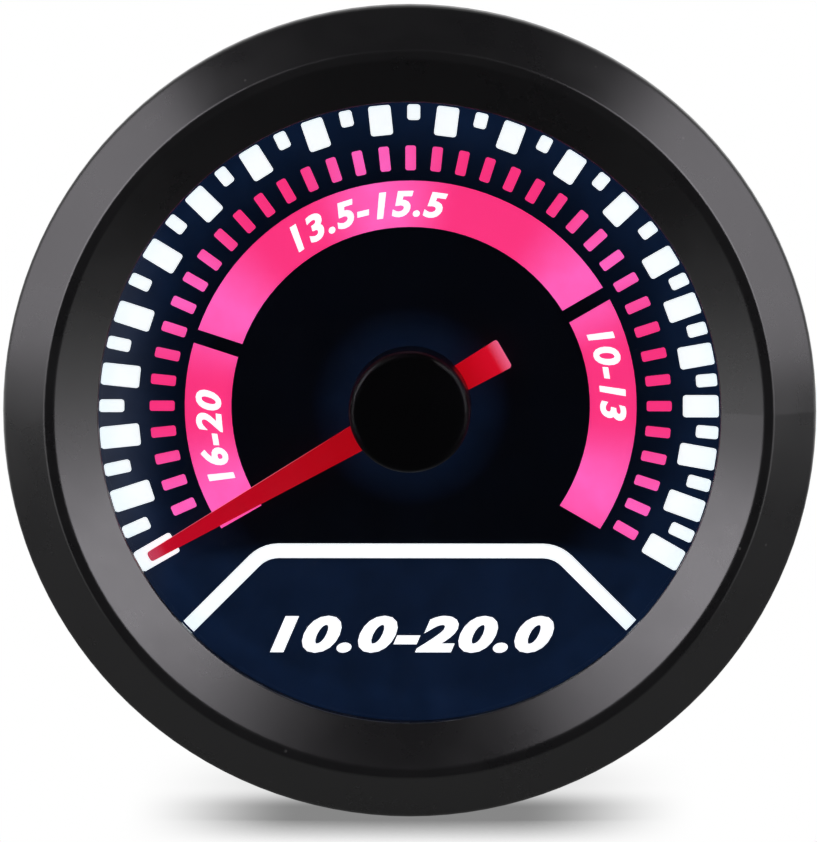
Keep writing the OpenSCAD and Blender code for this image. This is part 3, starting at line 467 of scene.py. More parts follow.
@dataclass(frozen=True)
class Metal(Finish):
    """A plated, pressed or drawn metal with fine lines, cloudy plating and a painted highlight on its edges.
    """

    colour: Colour
    roughness: float = 0.3
    lay: Lay = Lay.NONE
    line_mm: float = 0.08
    depth_mm: float = 0.002
    edge_mm: float = 0.1
    tarnish: Colour = (0.42, 0.40, 0.36)

    def paint(self, graph: Graph, shader: bpy.types.Node, effects: Effects) -> None:
        """Feeds colour, roughness and normal from the lines, the clouds and the edges.

        Args:
            graph: The material's graph.
            shader: Its Principled BSDF.
            effects: The shared node groups.
        """
        place = graph.place(stretch=self.lay.value)
        lines = graph.noise(place, 1 / (self.line_mm * MM), 4.0, 0.65)
        cloud = graph.noise(graph.place(), 140.0, 5.0, 0.6)
        edges = effects.use(graph, "edges", Width=self.edge_mm * MM)
        colour = graph.blend(graph.step(cloud, 0.45, 0.75, 0.0, 0.6), self.colour, self.tarnish)
        # Every bend is painted brighter: a painted highlight along the edges.
        bright = tuple(min(1.0, c * 1.15) for c in self.colour)
        colour = graph.blend(graph.math("MULTIPLY", edges["Mask"], 0.6), colour, bright)
        graph.put(shader.inputs["Base Color"], colour)
        shader.inputs["Metallic"].default_value = 1.0
        rough = graph.step(lines, 0.25, 0.75, self.roughness * 0.75, self.roughness * 1.3)
        graph.put(shader.inputs["Roughness"], rough)
        self.relief(graph, shader, lines, self.depth_mm, edges["Normal"])


@dataclass(frozen=True)
class Turned(Finish):
    """A turned or drawn metal with the rings that the tool left about the piece's own axis."""

    colour: Colour
    roughness: float = 0.22
    pitch_mm: float = 0.09
    centre_mm: Place = (0.0, 0.0, 0.0)

    def paint(self, graph: Graph, shader: bpy.types.Node, effects: Effects) -> None:
        """Feeds colour, roughness and normal from the rings.

        Args:
            graph: The material's graph.
            shader: Its Principled BSDF.
            effects: The shared node groups.
        """
        place = graph.place(self.centre_mm)
        rings = effects.use(graph, "turned", Place=place, Pitch=self.pitch_mm * MM)
        edges = effects.use(graph, "edges", Width=0.06 * MM)
        dull = tuple(c * 0.78 for c in self.colour)
        graph.put(shader.inputs["Base Color"], graph.blend(rings["Tone"], dull, self.colour))
        shader.inputs["Metallic"].default_value = 1.0
        rough = graph.step(rings["Tone"], 0.3, 0.7, self.roughness * 0.8, self.roughness * 1.3)
        graph.put(shader.inputs["Roughness"], rough)
        self.relief(graph, shader, rings["Height"], 0.0015, edges["Normal"])


@dataclass(frozen=True)
class Wound(Finish):
    """Enamelled copper wire, wound in close turns across a coil's axis."""

    colour: Colour
    wire_mm: float
    axis_deg: float

    def paint(self, graph: Graph, shader: bpy.types.Node, effects: Effects) -> None:
        """Feeds colour and normal from the turns: bands across the coil's axis, one a wire wide, with painted
        shade in the grooves between them.

        Args:
            graph: The material's graph.
            shader: Its Principled BSDF.
            effects: The shared node groups.
        """
        parts = graph.add("ShaderNodeSeparateXYZ", {0: graph.place()})
        side = graph.math("ABSOLUTE", parts.outputs["X"])
        lean = math.radians(self.axis_deg)
        along = graph.math("ADD", graph.math("MULTIPLY", side, math.cos(lean)),
                           graph.math("MULTIPLY", parts.outputs["Z"], math.sin(lean)))
        turns = graph.math("PINGPONG", along, self.wire_mm * MM / 2)
        height = graph.math("SQRT", graph.math("DIVIDE", turns, self.wire_mm * MM / 2))
        tone = graph.noise(graph.place(), 900.0, 2.0)
        # The grooves between the turns are painted dark: painted shade.
        groove_shade = tuple(c * 0.25 for c in self.colour)
        shade = graph.blend(graph.step(height, 0.1, 0.6), groove_shade, self.colour)
        faint = graph.math("MULTIPLY", tone, 0.3)
        graph.put(shader.inputs["Base Color"], graph.blend(faint, shade, (0.55, 0.2, 0.07)))
        shader.inputs["Metallic"].default_value = 0.85
        shader.inputs["Roughness"].default_value = 0.28
        shader.inputs["Coat Weight"].default_value = 0.5
        self.relief(graph, shader, height, self.wire_mm / 3)


@dataclass(frozen=True)
class Lacquered(Finish):
    """A circuit board: solder lacquer over copper traces, with glass weave at the cut edges."""

    colour: Colour
    over_copper: Colour

    def paint(self, graph: Graph, shader: bpy.types.Node, effects: Effects) -> None:
        """Feeds colour and normal from the traces under the lacquer.

        Args:
            graph: The material's graph.
            shader: Its Principled BSDF.
            effects: The shared node groups.
        """
        place = graph.place()
        traces = effects.use(graph, "traces", Place=place)
        cloud = graph.noise(place, 300.0, 4.0)
        base = graph.blend(traces["Mask"], self.colour, self.over_copper)
        dark = tuple(c * 0.8 for c in self.colour)
        graph.put(shader.inputs["Base Color"], graph.blend(graph.step(cloud, 0.5, 0.8, 0.0, 0.4), base, dark))
        graph.put(shader.inputs["Roughness"], graph.step(cloud, 0.3, 0.7, 0.28, 0.4))
        self.relief(graph, shader, traces["Mask"], 0.02)


@dataclass(frozen=True)
class ClearLens(Finish):
    """The moulded clear lens, with the faintest haze of fine wipe marks."""

    tint: Colour = (0.95, 0.965, 0.98)
    haze: float = 0.008

    def paint(self, graph: Graph, shader: bpy.types.Node, effects: Effects) -> None:
        """Feeds the roughness from the wipe marks and sets the glass's plain values.

        Args:
            graph: The material's graph.
            shader: Its Principled BSDF.
            effects: The shared node groups.
        """
        wipes = graph.noise(graph.place(stretch=(1.0, 1.0, 0.08)), 5000.0, 2.0)
        graph.put(shader.inputs["Roughness"], graph.step(wipes, 0.55, 0.8, 0.0, self.haze))
        graph.put(shader.inputs["Base Color"], graph.blend(wipes, self.tint, (0.97, 0.98, 0.99)))
        shader.inputs["Transmission Weight"].default_value = 1.0
        shader.inputs["IOR"].default_value = 1.49


@dataclass(frozen=True)
class LitWhite(Finish):
    """The white film over the outer lamps, with a cool edge where the light falls off."""

    glow: float

    def paint(self, graph: Graph, shader: bpy.types.Node, effects: Effects) -> None:
        """Feeds the glow from the distance to the lamps and a faint cloudiness.

        Args:
            graph: The material's graph.
            shader: Its Principled BSDF.
            effects: The shared node groups.
        """
        place = graph.place()
        spot = effects.use(graph, "dial_place", Place=place)
        cloud = graph.noise(place, 420.0, 3.0)
        rim = graph.step(spot["Radius"], 21.4 * MM, 22.8 * MM)
        colour = graph.blend(graph.math("MULTIPLY", rim, 0.6), (1.0, 1.0, 1.0), (0.74, 0.93, 1.0))
        graph.put(shader.inputs["Emission Color"], graph.blend(cloud, colour, (0.93, 0.99, 1.0)))
        shader.inputs["Emission Strength"].default_value = self.glow
        shader.inputs["Base Color"].default_value = (0.85, 0.87, 0.88, 1.0)
        shader.inputs["Roughness"].default_value = 0.5


@dataclass(frozen=True)
class LitRed(Finish):
    """The red film over the inner lamps: pinker near each lamp, deeper red between them."""

    glow: float
    near: Colour = (1.0, 0.13, 0.54)
    far: Colour = (0.93, 0.03, 0.20)
    lamps_deg: tuple[float, ...] = (205.0, 153.0, 98.0, 36.0, -24.0)
    reach_deg: float = 22.0

    def paint(self, graph: Graph, shader: bpy.types.Node, effects: Effects) -> None:
        """Feeds the glow: each lamp adds a soft bump of light round its own angle.

        Args:
            graph: The material's graph.
            shader: Its Principled BSDF.
            effects: The shared node groups.
        """
        place = graph.place()
        spot = effects.use(graph, "dial_place", Place=place)
        reach = self.reach_deg / 360
        light: Socket | None = None
        for angle in self.lamps_deg:
            off = graph.math("SUBTRACT", spot["Turn"], (270 - angle) / 360)
            bump = graph.step(graph.math("ABSOLUTE", off), 0.0, reach, 1.0, 0.0)
            light = bump if light is None else graph.math("MAXIMUM", light, bump)
        cloud = graph.noise(place, 600.0, 4.0)
        light = graph.math("MULTIPLY", light, graph.step(cloud, 0.2, 0.8, 0.75, 1.0))
        graph.put(shader.inputs["Emission Color"], graph.blend(light, self.far, self.near))
        shader.inputs["Emission Strength"].default_value = self.glow
        shader.inputs["Base Color"].default_value = (0.55, 0.03, 0.09, 1.0)
        shader.inputs["Roughness"].default_value = 0.5


@dataclass(frozen=True)
class LitMask(Finish):
    """The printed black mask, with a painted glow of cool light near the lit places."""

    colour: Colour = (0.0012, 0.0012, 0.0016)
    # The mask is no lamp: these colours are a painted glow, greyer to the left as a painted haze.
    painted_glow: Colour = (0.12, 0.33, 1.0)
    haze: Colour = (0.80, 0.85, 1.0)
    levels: tuple[tuple[float, float], ...] = (
        (0.0, 0.026), (0.22, 0.014), (0.31, 0.002), (0.62, 0.002), (0.78, 0.014), (0.90, 0.032), (1.0, 0.027)
    )
    glow: float = 1.0

    def paint(self, graph: Graph, shader: bpy.types.Node, effects: Effects) -> None:
        """Feeds the painted glow: a ring of cool light by the outer windows, more on the left, and a pool at
        the hub.

        The levels give the painted glow by its share of the dial's radius, and the lower panel has its own.

        Args:
            graph: The material's graph.
            shader: Its Principled BSDF.
            effects: The shared node groups.
        """
        place = graph.place()
        spot = effects.use(graph, "dial_place", Place=place)
        parts = graph.add("ShaderNodeSeparateXYZ", {0: place})
        share = graph.math("DIVIDE", spot["Radius"], 24 * MM)
        level = graph.ramp(share, tuple((spot_share, (grey,) * 3) for spot_share, grey in self.levels))
        left = graph.step(parts.outputs["X"], -16 * MM, -24 * MM, 1.0, 1.8)
        low = graph.step(parts.outputs["Z"], -9.5 * MM, -12 * MM, 0.0, 0.026)
        level = graph.math("MAXIMUM", graph.math("MULTIPLY", level, left), low)
        level = graph.math("MULTIPLY", level, graph.step(graph.noise(place, 350.0, 4.0), 0.2, 0.8, 0.8, 1.2))
        # Painted haze: to the left the painted glow turns greyer.
        grey = graph.step(parts.outputs["X"], -17 * MM, -23 * MM, 0.0, 0.55)
        tint = graph.blend(grey, self.painted_glow, self.haze)
        colour = graph.add("ShaderNodeVectorMath", {0: tint, "Scale": level}, operation="SCALE").outputs[0]
        graph.put(shader.inputs["Emission Color"], colour)
        shader.inputs["Emission Strength"].default_value = self.glow
        shader.inputs["Base Color"].default_value = (*self.colour, 1.0)
        shader.inputs["Specular IOR Level"].default_value = 0.1
        grain = effects.use(graph, "grain", Place=place, Size=0.12 * MM)
        graph.put(shader.inputs["Roughness"], graph.step(grain["Tone"], 0.3, 0.7, 0.5, 0.62))
        self.relief(graph, shader, grain["Height"], 0.002)


@dataclass(frozen=True)
class LitPointer(Finish):
    """Clear red plastic that carries light from the hub out to its tip and its tail."""

    rest_deg: float = 210.0
    tip_mm: float = 22.3
    tail_mm: float = 8.0

    def paint(self, graph: Graph, shader: bpy.types.Node, effects: Effects) -> None:
        """Feeds the glow along the blade, paler at the tip and along the outer half's edges.

        Args:
            graph: The material's graph.
            shader: Its Principled BSDF.
            effects: The shared node groups.
        """
        place = graph.place()
        rest = math.radians(self.rest_deg)
        way = (math.cos(rest), 0.0, math.sin(rest))
        along = graph.add("ShaderNodeVectorMath", {0: place, 1: way}, operation="DOT_PRODUCT")
        along = along.outputs["Value"]
        span = (self.tip_mm + self.tail_mm) * MM
        share = graph.math("DIVIDE", graph.math("ADD", along, self.tail_mm * MM), span, clamp=True)
        glow = graph.ramp(share, (
            (0.0, (0.92, 0.14, 0.28)),
            (0.03, (0.68, 0.002, 0.018)),
            (0.12, (0.46, 0.0, 0.003)),
            (0.30, (0.37, 0.0, 0.002)),
            (0.60, (0.44, 0.0, 0.006)),
            (0.90, (0.52, 0.001, 0.014)),
            (0.955, (0.56, 0.004, 0.022)),
            (0.975, (0.60, 0.045, 0.095)),
            (1.0, (0.60, 0.07, 0.13)),
        ))
        normal = graph.add("ShaderNodeNewGeometry").outputs["Normal"]
        facing = graph.add("ShaderNodeSeparateXYZ", {0: normal})
        side = graph.step(graph.math("ABSOLUTE", facing.outputs["Y"]), 0.7, 0.3, 0.0, 0.45)
        side = graph.math("MULTIPLY", side, graph.step(share, 0.45, 0.65))
        glow = graph.blend(side, glow, (0.85, 0.30, 0.42))
        cloud = graph.noise(place, 500.0, 3.0)
        faint = graph.math("MULTIPLY", cloud, 0.2)
        graph.put(shader.inputs["Emission Color"], graph.blend(faint, glow, (0.3, 0.0, 0.01)))
        shader.inputs["Emission Strength"].default_value = 1.0
        graph.put(shader.inputs["Base Color"], graph.blend(cloud, (0.30, 0.001, 0.008), (0.38, 0.002, 0.014)))
        graph.put(shader.inputs["Roughness"], graph.step(cloud, 0.3, 0.7, 0.3, 0.4))


@dataclass(frozen=True)
class LitNumeral(Finish):
    """White numerals, lit from behind, with a cool edge."""

    glow: float = 1.1

    def paint(self, graph: Graph, shader: bpy.types.Node, effects: Effects) -> None:
        """Feeds the glow from a faint cloudiness.

        Args:
            graph: The material's graph.
            shader: Its Principled BSDF.
            effects: The shared node groups.
        """
        cloud = graph.noise(graph.place(), 700.0, 3.0)
        graph.put(shader.inputs["Emission Color"], graph.blend(cloud, (0.96, 0.97, 1.0), (1.0, 1.0, 1.0)))
        shader.inputs["Emission Strength"].default_value = self.glow
        shader.inputs["Base Color"].default_value = (0.8, 0.8, 0.8, 1.0)
        shader.inputs["Roughness"].default_value = 0.5


@dataclass(frozen=True)
class LitResin(Finish):
    """The clear resin of a lamp, brightest at its middle."""

    colour: Colour
    glow: float

    def paint(self, graph: Graph, shader: bpy.types.Node, effects: Effects) -> None:
        """Feeds the glow from small cells of light.

        Args:
            graph: The material's graph.
            shader: Its Principled BSDF.
            effects: The shared node groups.
        """
        cells = graph.add("ShaderNodeTexVoronoi", {"Vector": graph.place(), "Scale": 1100.0})
        light = graph.step(cells.outputs["Distance"], 0.5, 0.1)
        pale = tuple(min(1.0, c + 0.4) for c in self.colour)
        graph.put(shader.inputs["Emission Color"], graph.blend(light, self.colour, pale))
        shader.inputs["Emission Strength"].default_value = self.glow
        shader.inputs["Base Color"].default_value = (*self.colour, 1.0)
        shader.inputs["Roughness"].default_value = 0.2


class Workshop:
    """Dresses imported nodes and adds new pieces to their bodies."""

    def __init__(self, nodes: dict[str, bpy.types.Object]) -> None:
        """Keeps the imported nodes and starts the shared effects.

        Args:
            nodes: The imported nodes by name.
        """
        self.nodes = nodes
        self.effects = Effects()

    def dress(self, finish: Finish, *names: str) -> None:
        """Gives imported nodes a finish.

        Args:
            finish: The finish.
            names: The nodes.
        """
        made = finish.material(self.effects)
        for name in names:
            data = self.nodes[name].data
            data.materials.clear()
            data.materials.append(made)
            LOG.info("dressed %s in %s", name, finish.name)

    def piece(self, name: str, points: np.ndarray, faces: list[tuple[int, ...]], finish: Finish,
              body: Body, slot: str, smooth: bool = True) -> bpy.types.Object:
        """Makes a new piece from points and faces.

        Args:
            name: The piece's name.
            points: Its points, one row each, in metres.
            faces: Its faces as numbers of points.
            finish: Its finish.
            body: The body that it rides on.
            slot: The record's material slot.
            smooth: Whether its faces are shaded smooth.

        Returns:
            The piece.
        """
        mesh = bpy.data.meshes.new(name)
        mesh.from_pydata(points.tolist(), [], faces)
        mesh.polygons.foreach_set("use_smooth", [smooth] * len(mesh.polygons))
        mesh.update()
        return self.place(name, mesh, finish, body, slot)

    def place(
        self, name: str, mesh: bpy.types.Mesh, finish: Finish, body: Body, slot: str
    ) -> bpy.types.Object:
        """Puts a finished mesh into the scene as a piece.

        Args:
            name: The piece's name.
            mesh: Its mesh, placed in the frame.
            finish: Its finish.
            body: The body that it rides on.
            slot: The record's material slot; not used.

        Returns:
            The piece.
        """
        mesh.materials.clear()
        mesh.materials.append(finish.material(self.effects))
        made = bpy.data.objects.new(name, mesh)
        bpy.context.scene.collection.objects.link(made)
        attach(made, body.value)
        LOG.info("made %s with %d faces", name, len(mesh.polygons))
        return made


def skin(rings: np.ndarray) -> tuple[np.ndarray, list[tuple[int, ...]]]:
    """Closes a stack of rings into one skin whose faces point outwards.

    Ring i's point j joins ring i + 1's point j and both their next points, and the middle of
    the first and of the last ring closes the ends.

    Args:
        rings: Points by ring, by place round the ring, and by coordinate.

    Returns:
        The points and the faces.
    """
    count, around, _ = rings.shape
    points = np.concatenate([rings.reshape(-1, 3), rings[[0, -1]].mean(axis=1)])
    i, j = np.meshgrid(np.arange(count - 1), np.arange(around), indexing="ij")
    here, ahead = i * around + j, i * around + (j + 1) % around
    quads = np.stack([here, ahead, ahead + around, here + around], axis=-1).reshape(-1, 4)
    j = np.arange(around)
    following = (j + 1) % around
    first, last = count * around, count * around + 1
    top = (count - 1) * around
    start = np.stack([np.full(around, first), following, j], axis=-1)
    end = np.stack([np.full(around, last), top + j, top + following], axis=-1)
    triangles = np.concatenate([quads[:, [0, 1, 2]], quads[:, [0, 2, 3]], start, end])
    corners = points[triangles]
    volume = np.einsum("ij,ij->i", corners[:, 0], np.cross(corners[:, 1], corners[:, 2])).sum()
    faces = [*map(tuple, quads.tolist()), *map(tuple, start.tolist()), *map(tuple, end.tolist())]
    return points, [f[::-1] for f in faces] if volume < 0 else faces


@dataclass
class BezelAndLens:
    """The bezel with the lens, gasket and hood that it clamps."""

    shop: Workshop
    black: Finish = Moulded(
        "bezel_black", (0.006, 0.006, 0.0065), 0.29, 0.22, 0.0006, 0.12, 0.10, 0.3, 0.0, 1.8
    )
    lens: Finish = ClearLens("lens_clear")
    seal: Finish = Moulded("seal_rubber", (0.02, 0.02, 0.02), 0.8, 0.15, 0.006)
    hood: Finish = Moulded("hood_black", (0.010, 0.010, 0.011), 0.75, 0.2, 0.004)

    def dress(self) -> None:
        """Dresses the four nodes."""
        self.shop.dress(self.black, "bezel_ring")
        self.shop.dress(self.lens, "lens")
        self.shop.dress(self.seal, "lens_gasket")
        self.shop.dress(self.hood, "dial_hood")


@dataclass
class Numerals:
    """A line of plain numbers, straight or bent round the dial."""

    name: str
    text: str
    height_mm: float
    width_mm: float
    front_mm: float
    centre_mm: tuple[float, float]
    bend_deg: float | None = None
    lean: float = 0.22
    weight: float = 0.035
    depth_mm: float = 0.06

    def mesh(self) -> bpy.types.Mesh:
        """Makes the numbers as thin closed slabs in the frame.

        A straight line of numbers lies about its centre. A bent one has the centre's first number
        as its radius: the distance along the line becomes an angle, clockwise from bend_deg, and
        the height above mid height is added to the radius.

        Returns:
            The mesh.
        """
        font = bpy.data.curves.new(self.name, "FONT")
        font.body = self.text
        font.shear = self.lean
        font.offset = self.weight
        font.extrude = 0.5
        font.space_character = 1.12
        font.resolution_u = 4
        holder = bpy.data.objects.new(self.name, font)
        bpy.context.scene.collection.objects.link(holder)
        bpy.context.view_layer.update()
        mesh = bpy.data.meshes.new_from_object(holder)
        bpy.data.objects.remove(holder)
        bpy.data.curves.remove(font)
        points = np.zeros(len(mesh.vertices) * 3)
        mesh.vertices.foreach_get("co", points)
        points = points.reshape(-1, 3)
        low, high = points.min(axis=0), points.max(axis=0)
        along, up, deep = ((points - (low + high) / 2) / (high - low)).T
        along, up = along * self.width_mm, up * self.height_mm
        back = self.front_mm + (0.5 - deep) * self.depth_mm
        if self.bend_deg is None:
            placed = np.stack([self.centre_mm[0] + along, back, self.centre_mm[1] + up], axis=1)
        else:
            radius = self.centre_mm[0]
            angle = math.radians(self.bend_deg) - along / radius
            reach = radius + up
            placed = np.stack([reach * np.cos(angle), back, reach * np.sin(angle)], axis=1)
        mesh.vertices.foreach_set("co", (placed * MM).ravel())
        solid = bmesh.new()
        solid.from_mesh(mesh)
        bmesh.ops.remove_doubles(solid, verts=solid.verts, dist=1e-7)
        bmesh.ops.recalc_face_normals(solid, faces=solid.faces)
        solid.to_mesh(mesh)
        solid.free()
        mesh.update()
        return mesh


@dataclass
class WindowEnds:
    """The printed ring on the mask that rounds off the outer ends of the white windows."""

    reach_mm: float = 22.88
    outer_mm: float = 23.6
    centre_mm: tuple[float, float] = (-0.12, -0.55)
    corner_mm: float = 0.2
    major_mm: float = 1.66
    minor_mm: float = 0.96
    start_deg: float = 210.0
    zones: tuple[tuple[float, int], ...] = ((48.0, 4), (132.0, 10), (60.0, 6))
    thickness_mm: float = 0.02
    around: int = 5760

    def windows(self) -> tuple[np.ndarray, np.ndarray]:
        """Works out the windows' angles and widths: a wide one at each mark, a narrow one between two.

        Returns:
            The angles in degrees and the widths in millimetres.
        """
        steps = np.concatenate([np.full(count, sweep / count) for sweep, count in self.zones])
        marks = self.start_deg - np.concatenate([[0.0], np.cumsum(steps)])
        between = (marks[:-1] + marks[1:]) / 2
        widths = np.concatenate([np.full(len(marks), self.major_mm), np.full(len(between), self.minor_mm)])
        return np.concatenate([marks, between]), widths

    def skin(self, front_mm: float) -> tuple[np.ndarray, list[tuple[int, ...]]]:
        """Works out the ring's skin as four rings of points: inner and outer, front and back.

        The inner edge's distance from the ring's own centre is the reach, less c - sqrt(c^2 - u^2),
        where c is the corner's radius and u, from 0 to c, is how far a point lies past the corner's
        start across the nearest window.

        Args:
            front_mm: The depth of the ring's front face.

        Returns:
            The points and the faces.
        """
        turn = np.linspace(0.0, math.tau, self.around, endpoint=False)
        angles, widths = self.windows()
        x = self.centre_mm[0] + self.reach_mm * np.cos(turn)
        z = self.centre_mm[1] + self.reach_mm * np.sin(turn)
        axis = np.radians(angles)[:, None]
        across = np.abs(z * np.cos(axis) - x * np.sin(axis))
        ahead = x * np.cos(axis) + z * np.sin(axis) > 0
        past = np.where(ahead, across - (widths[:, None] / 2 - self.corner_mm), np.inf).min(axis=0)
        past = np.clip(past, 0.0, self.corner_mm)
        inner = self.reach_mm - self.corner_mm + np.sqrt(self.corner_mm**2 - past**2)
        way = np.stack([np.cos(turn), np.zeros_like(turn), np.sin(turn)], axis=1)
        shift = np.array([self.centre_mm[0], 0.0, self.centre_mm[1]])
        near = shift + way * inner[:, None]
        far = way * self.outer_mm
        front, back = np.array([0.0, front_mm, 0.0]), np.array([0.0, front_mm + self.thickness_mm, 0.0])
        points = np.concatenate([near + front, far + front, far + back, near + back]) * MM
        i, j = np.meshgrid(np.arange(4), np.arange(self.around), indexing="ij")
        here, up = i * self.around, (i + 1) % 4 * self.around
        ahead = (j + 1) % self.around
        quads = np.stack([here + j, up + j, up + ahead, here + ahead], axis=-1).reshape(-1, 4)
        return points, [tuple(quad) for quad in quads.tolist()]


@dataclass
class Dial:
    """The mask, its lit films and the numbers."""

    shop: Workshop
    film_front_mm: float = 4.5
    mask_front_mm: float = 4.2
    band_mm: float = 14.96
    numeral: Finish = LitNumeral("numeral_white")
    mask: Finish = LitMask("mask_black")
    white: Finish = LitWhite("film_white", 1.05)
    red: Finish = LitRed("film_red", 1.08)
    guide: Finish = Moulded("guide_clear", (0.85, 0.92, 0.95), 0.12, 0.5, 0.001, 0.1, 0.03, 0.0, 1.0)

    def lines(self) -> tuple[Numerals, ...]:
        """Gives the lines of numbers: one on each band, and one in the lower panel."""
        front = self.film_front_mm - 0.05
        return (
            Numerals("numbers_lean", "16-20", 1.95, 7.0, front, (self.band_mm, 0.0), 189.0),
            Numerals("numbers_middle", "13.5-15.5", 1.95, 12.0, front, (self.band_mm, 0.0), 103.0),
            Numerals("numbers_rich", "10-13", 1.95, 6.8, front, (self.band_mm, 0.0), 9.0),
            Numerals(
                "numbers_panel", "10.0-20.0", 2.75, 21.0, self.mask_front_mm - 0.05, (0.1, -16.9),
                lean=0.3, weight=0.05,
            ),
        )

    def dress(self) -> None:
        """Dresses the mask, films and guide, and adds the numbers."""
        self.shop.dress(self.mask, "dial_mask")
        self.shop.dress(self.white, "white_film")
        self.shop.dress(self.red, "red_film")
        self.shop.dress(self.guide, "light_guide")
        points, faces = WindowEnds().skin(self.mask_front_mm - 0.02)
        self.shop.piece("window_ends", points, faces, self.mask, Body.HOUSING, "mask_black", smooth=False)
        for line in self.lines():
            self.shop.place(line.name, line.mesh(), self.numeral, Body.HOUSING, "film_white")


@dataclass
class Pointer:
    """The lit pointer, its cap, and the shaft and gear that turn it."""

    shop: Workshop
    red: Finish = LitPointer("pointer_red")
    cap: Finish = Moulded(
        "cap_black", (0.0008, 0.0008, 0.0022), 0.34, 0.18, 0.0015, 0.2, 0.10, 0.0, 0.0, 1.35
    )
    steel: Finish = Turned("shaft_steel", (0.60, 0.61, 0.63))
    acetal: Finish = Moulded("gear_acetal", (0.78, 0.74, 0.62), 0.35, 0.3, 0.002, 0.05)

    def dress(self) -> None:
        """Dresses the turning pieces and the idle gear between them."""
        self.shop.dress(self.red, "pointer")
        self.shop.dress(self.cap, "hub_cap")
        self.shop.dress(self.steel, "pointer_shaft")
        self.shop.dress(self.acetal, "output_gear", "intermediate_gear")


@dataclass
class LightBox:
    """The white box of cells, the lamps and the board that carries them."""

    shop: Workshop
    box: Finish = Moulded("light_box_white", (0.80, 0.80, 0.77), 0.6, 0.3, 0.004)
    board: Finish = Lacquered("lamp_board_white", (0.74, 0.76, 0.74), (0.80, 0.80, 0.76))
    white: Finish = LitResin("lamp_white", (0.95, 0.95, 0.80), 2.0)
    red: Finish = LitResin("lamp_red", (0.95, 0.12, 0.12), 2.0)

    def dress(self) -> None:
        """Dresses the four nodes."""
        self.shop.dress(self.box, "light_box")
        self.shop.dress(self.board, "lamp_board")
        self.shop.dress(self.white, "white_lamps")
        self.shop.dress(self.red, "red_lamps")


@dataclass
class Movement:
    """The stepper movement: case, stator, coils, magnet and terminals."""

    shop: Workshop
    rotor_z_mm: float = -10.6314
    case: Finish = Moulded("case_natural", (0.76, 0.76, 0.72), 0.5, 0.3, 0.003)
    steel: Finish = Metal("stator_steel", (0.45, 0.46, 0.48), 0.38, Lay.ALONG_X)
    bobbin: Finish = Moulded("bobbin_black", (0.03, 0.03, 0.035), 0.5)
    wire: Finish = Wound("copper_wire", (0.62, 0.22, 0.08), 0.12, -50.0)
    magnet: Finish = Moulded("magnet_grey", (0.10, 0.105, 0.11), 0.42, 0.1, 0.004, 0.08, 0.25)
    pins: Finish = Metal("pin_gold", (0.75, 0.58, 0.26), 0.2, Lay.ALONG_Y, tarnish=(0.6, 0.42, 0.18))

    def dress(self) -> None:
        """Dresses the movement and every plated pin."""
        self.shop.dress(self.case, "movement_front_case", "movement_rear_case")
        self.shop.dress(self.steel, "stator")
        self.shop.dress(self.bobbin, "coil_bobbins")
        self.shop.dress(self.wire, "coil_windings")
        self.shop.dress(self.magnet, "rotor_magnet")
        rotor = Turned("rotor_brass", (0.72, 0.53, 0.22), centre_mm=(0.0, 0.0, self.rotor_z_mm))
        self.shop.dress(rotor, "rotor_pinion")
        self.shop.dress(self.pins, "movement_terminals", "link_pins", "connector_pins")


@dataclass
class Boards:
    """The main board, what stands on it, and what holds it."""

    shop: Workshop
    board: Finish = Lacquered("board_green", (0.012, 0.11, 0.04), (0.03, 0.20, 0.07))
    brass: Finish = Metal("turned_brass", (0.72, 0.53, 0.22), 0.25, Lay.ALONG_Y, tarnish=(0.5, 0.35, 0.14))
    black: Finish = Moulded("header_black", (0.025, 0.025, 0.028), 0.45, 0.2, 0.003)
    cans: Finish = Metal("capacitor_can", (0.62, 0.63, 0.65), 0.3, Lay.ALONG_Y)
    ivory: Finish = Moulded("connector_ivory", (0.74, 0.70, 0.60), 0.42, 0.3, 0.003, 0.15, 0.06)

    def dress(self) -> None:
        """Dresses the boards' nodes."""
        self.shop.dress(self.board, "main_board")
        self.shop.dress(self.brass, "board_standoffs")
        self.shop.dress(self.black, "link_header", "control_chips")
        self.shop.dress(self.cans, "filter_capacitors")
        self.shop.dress(self.ivory, "connector_shell")


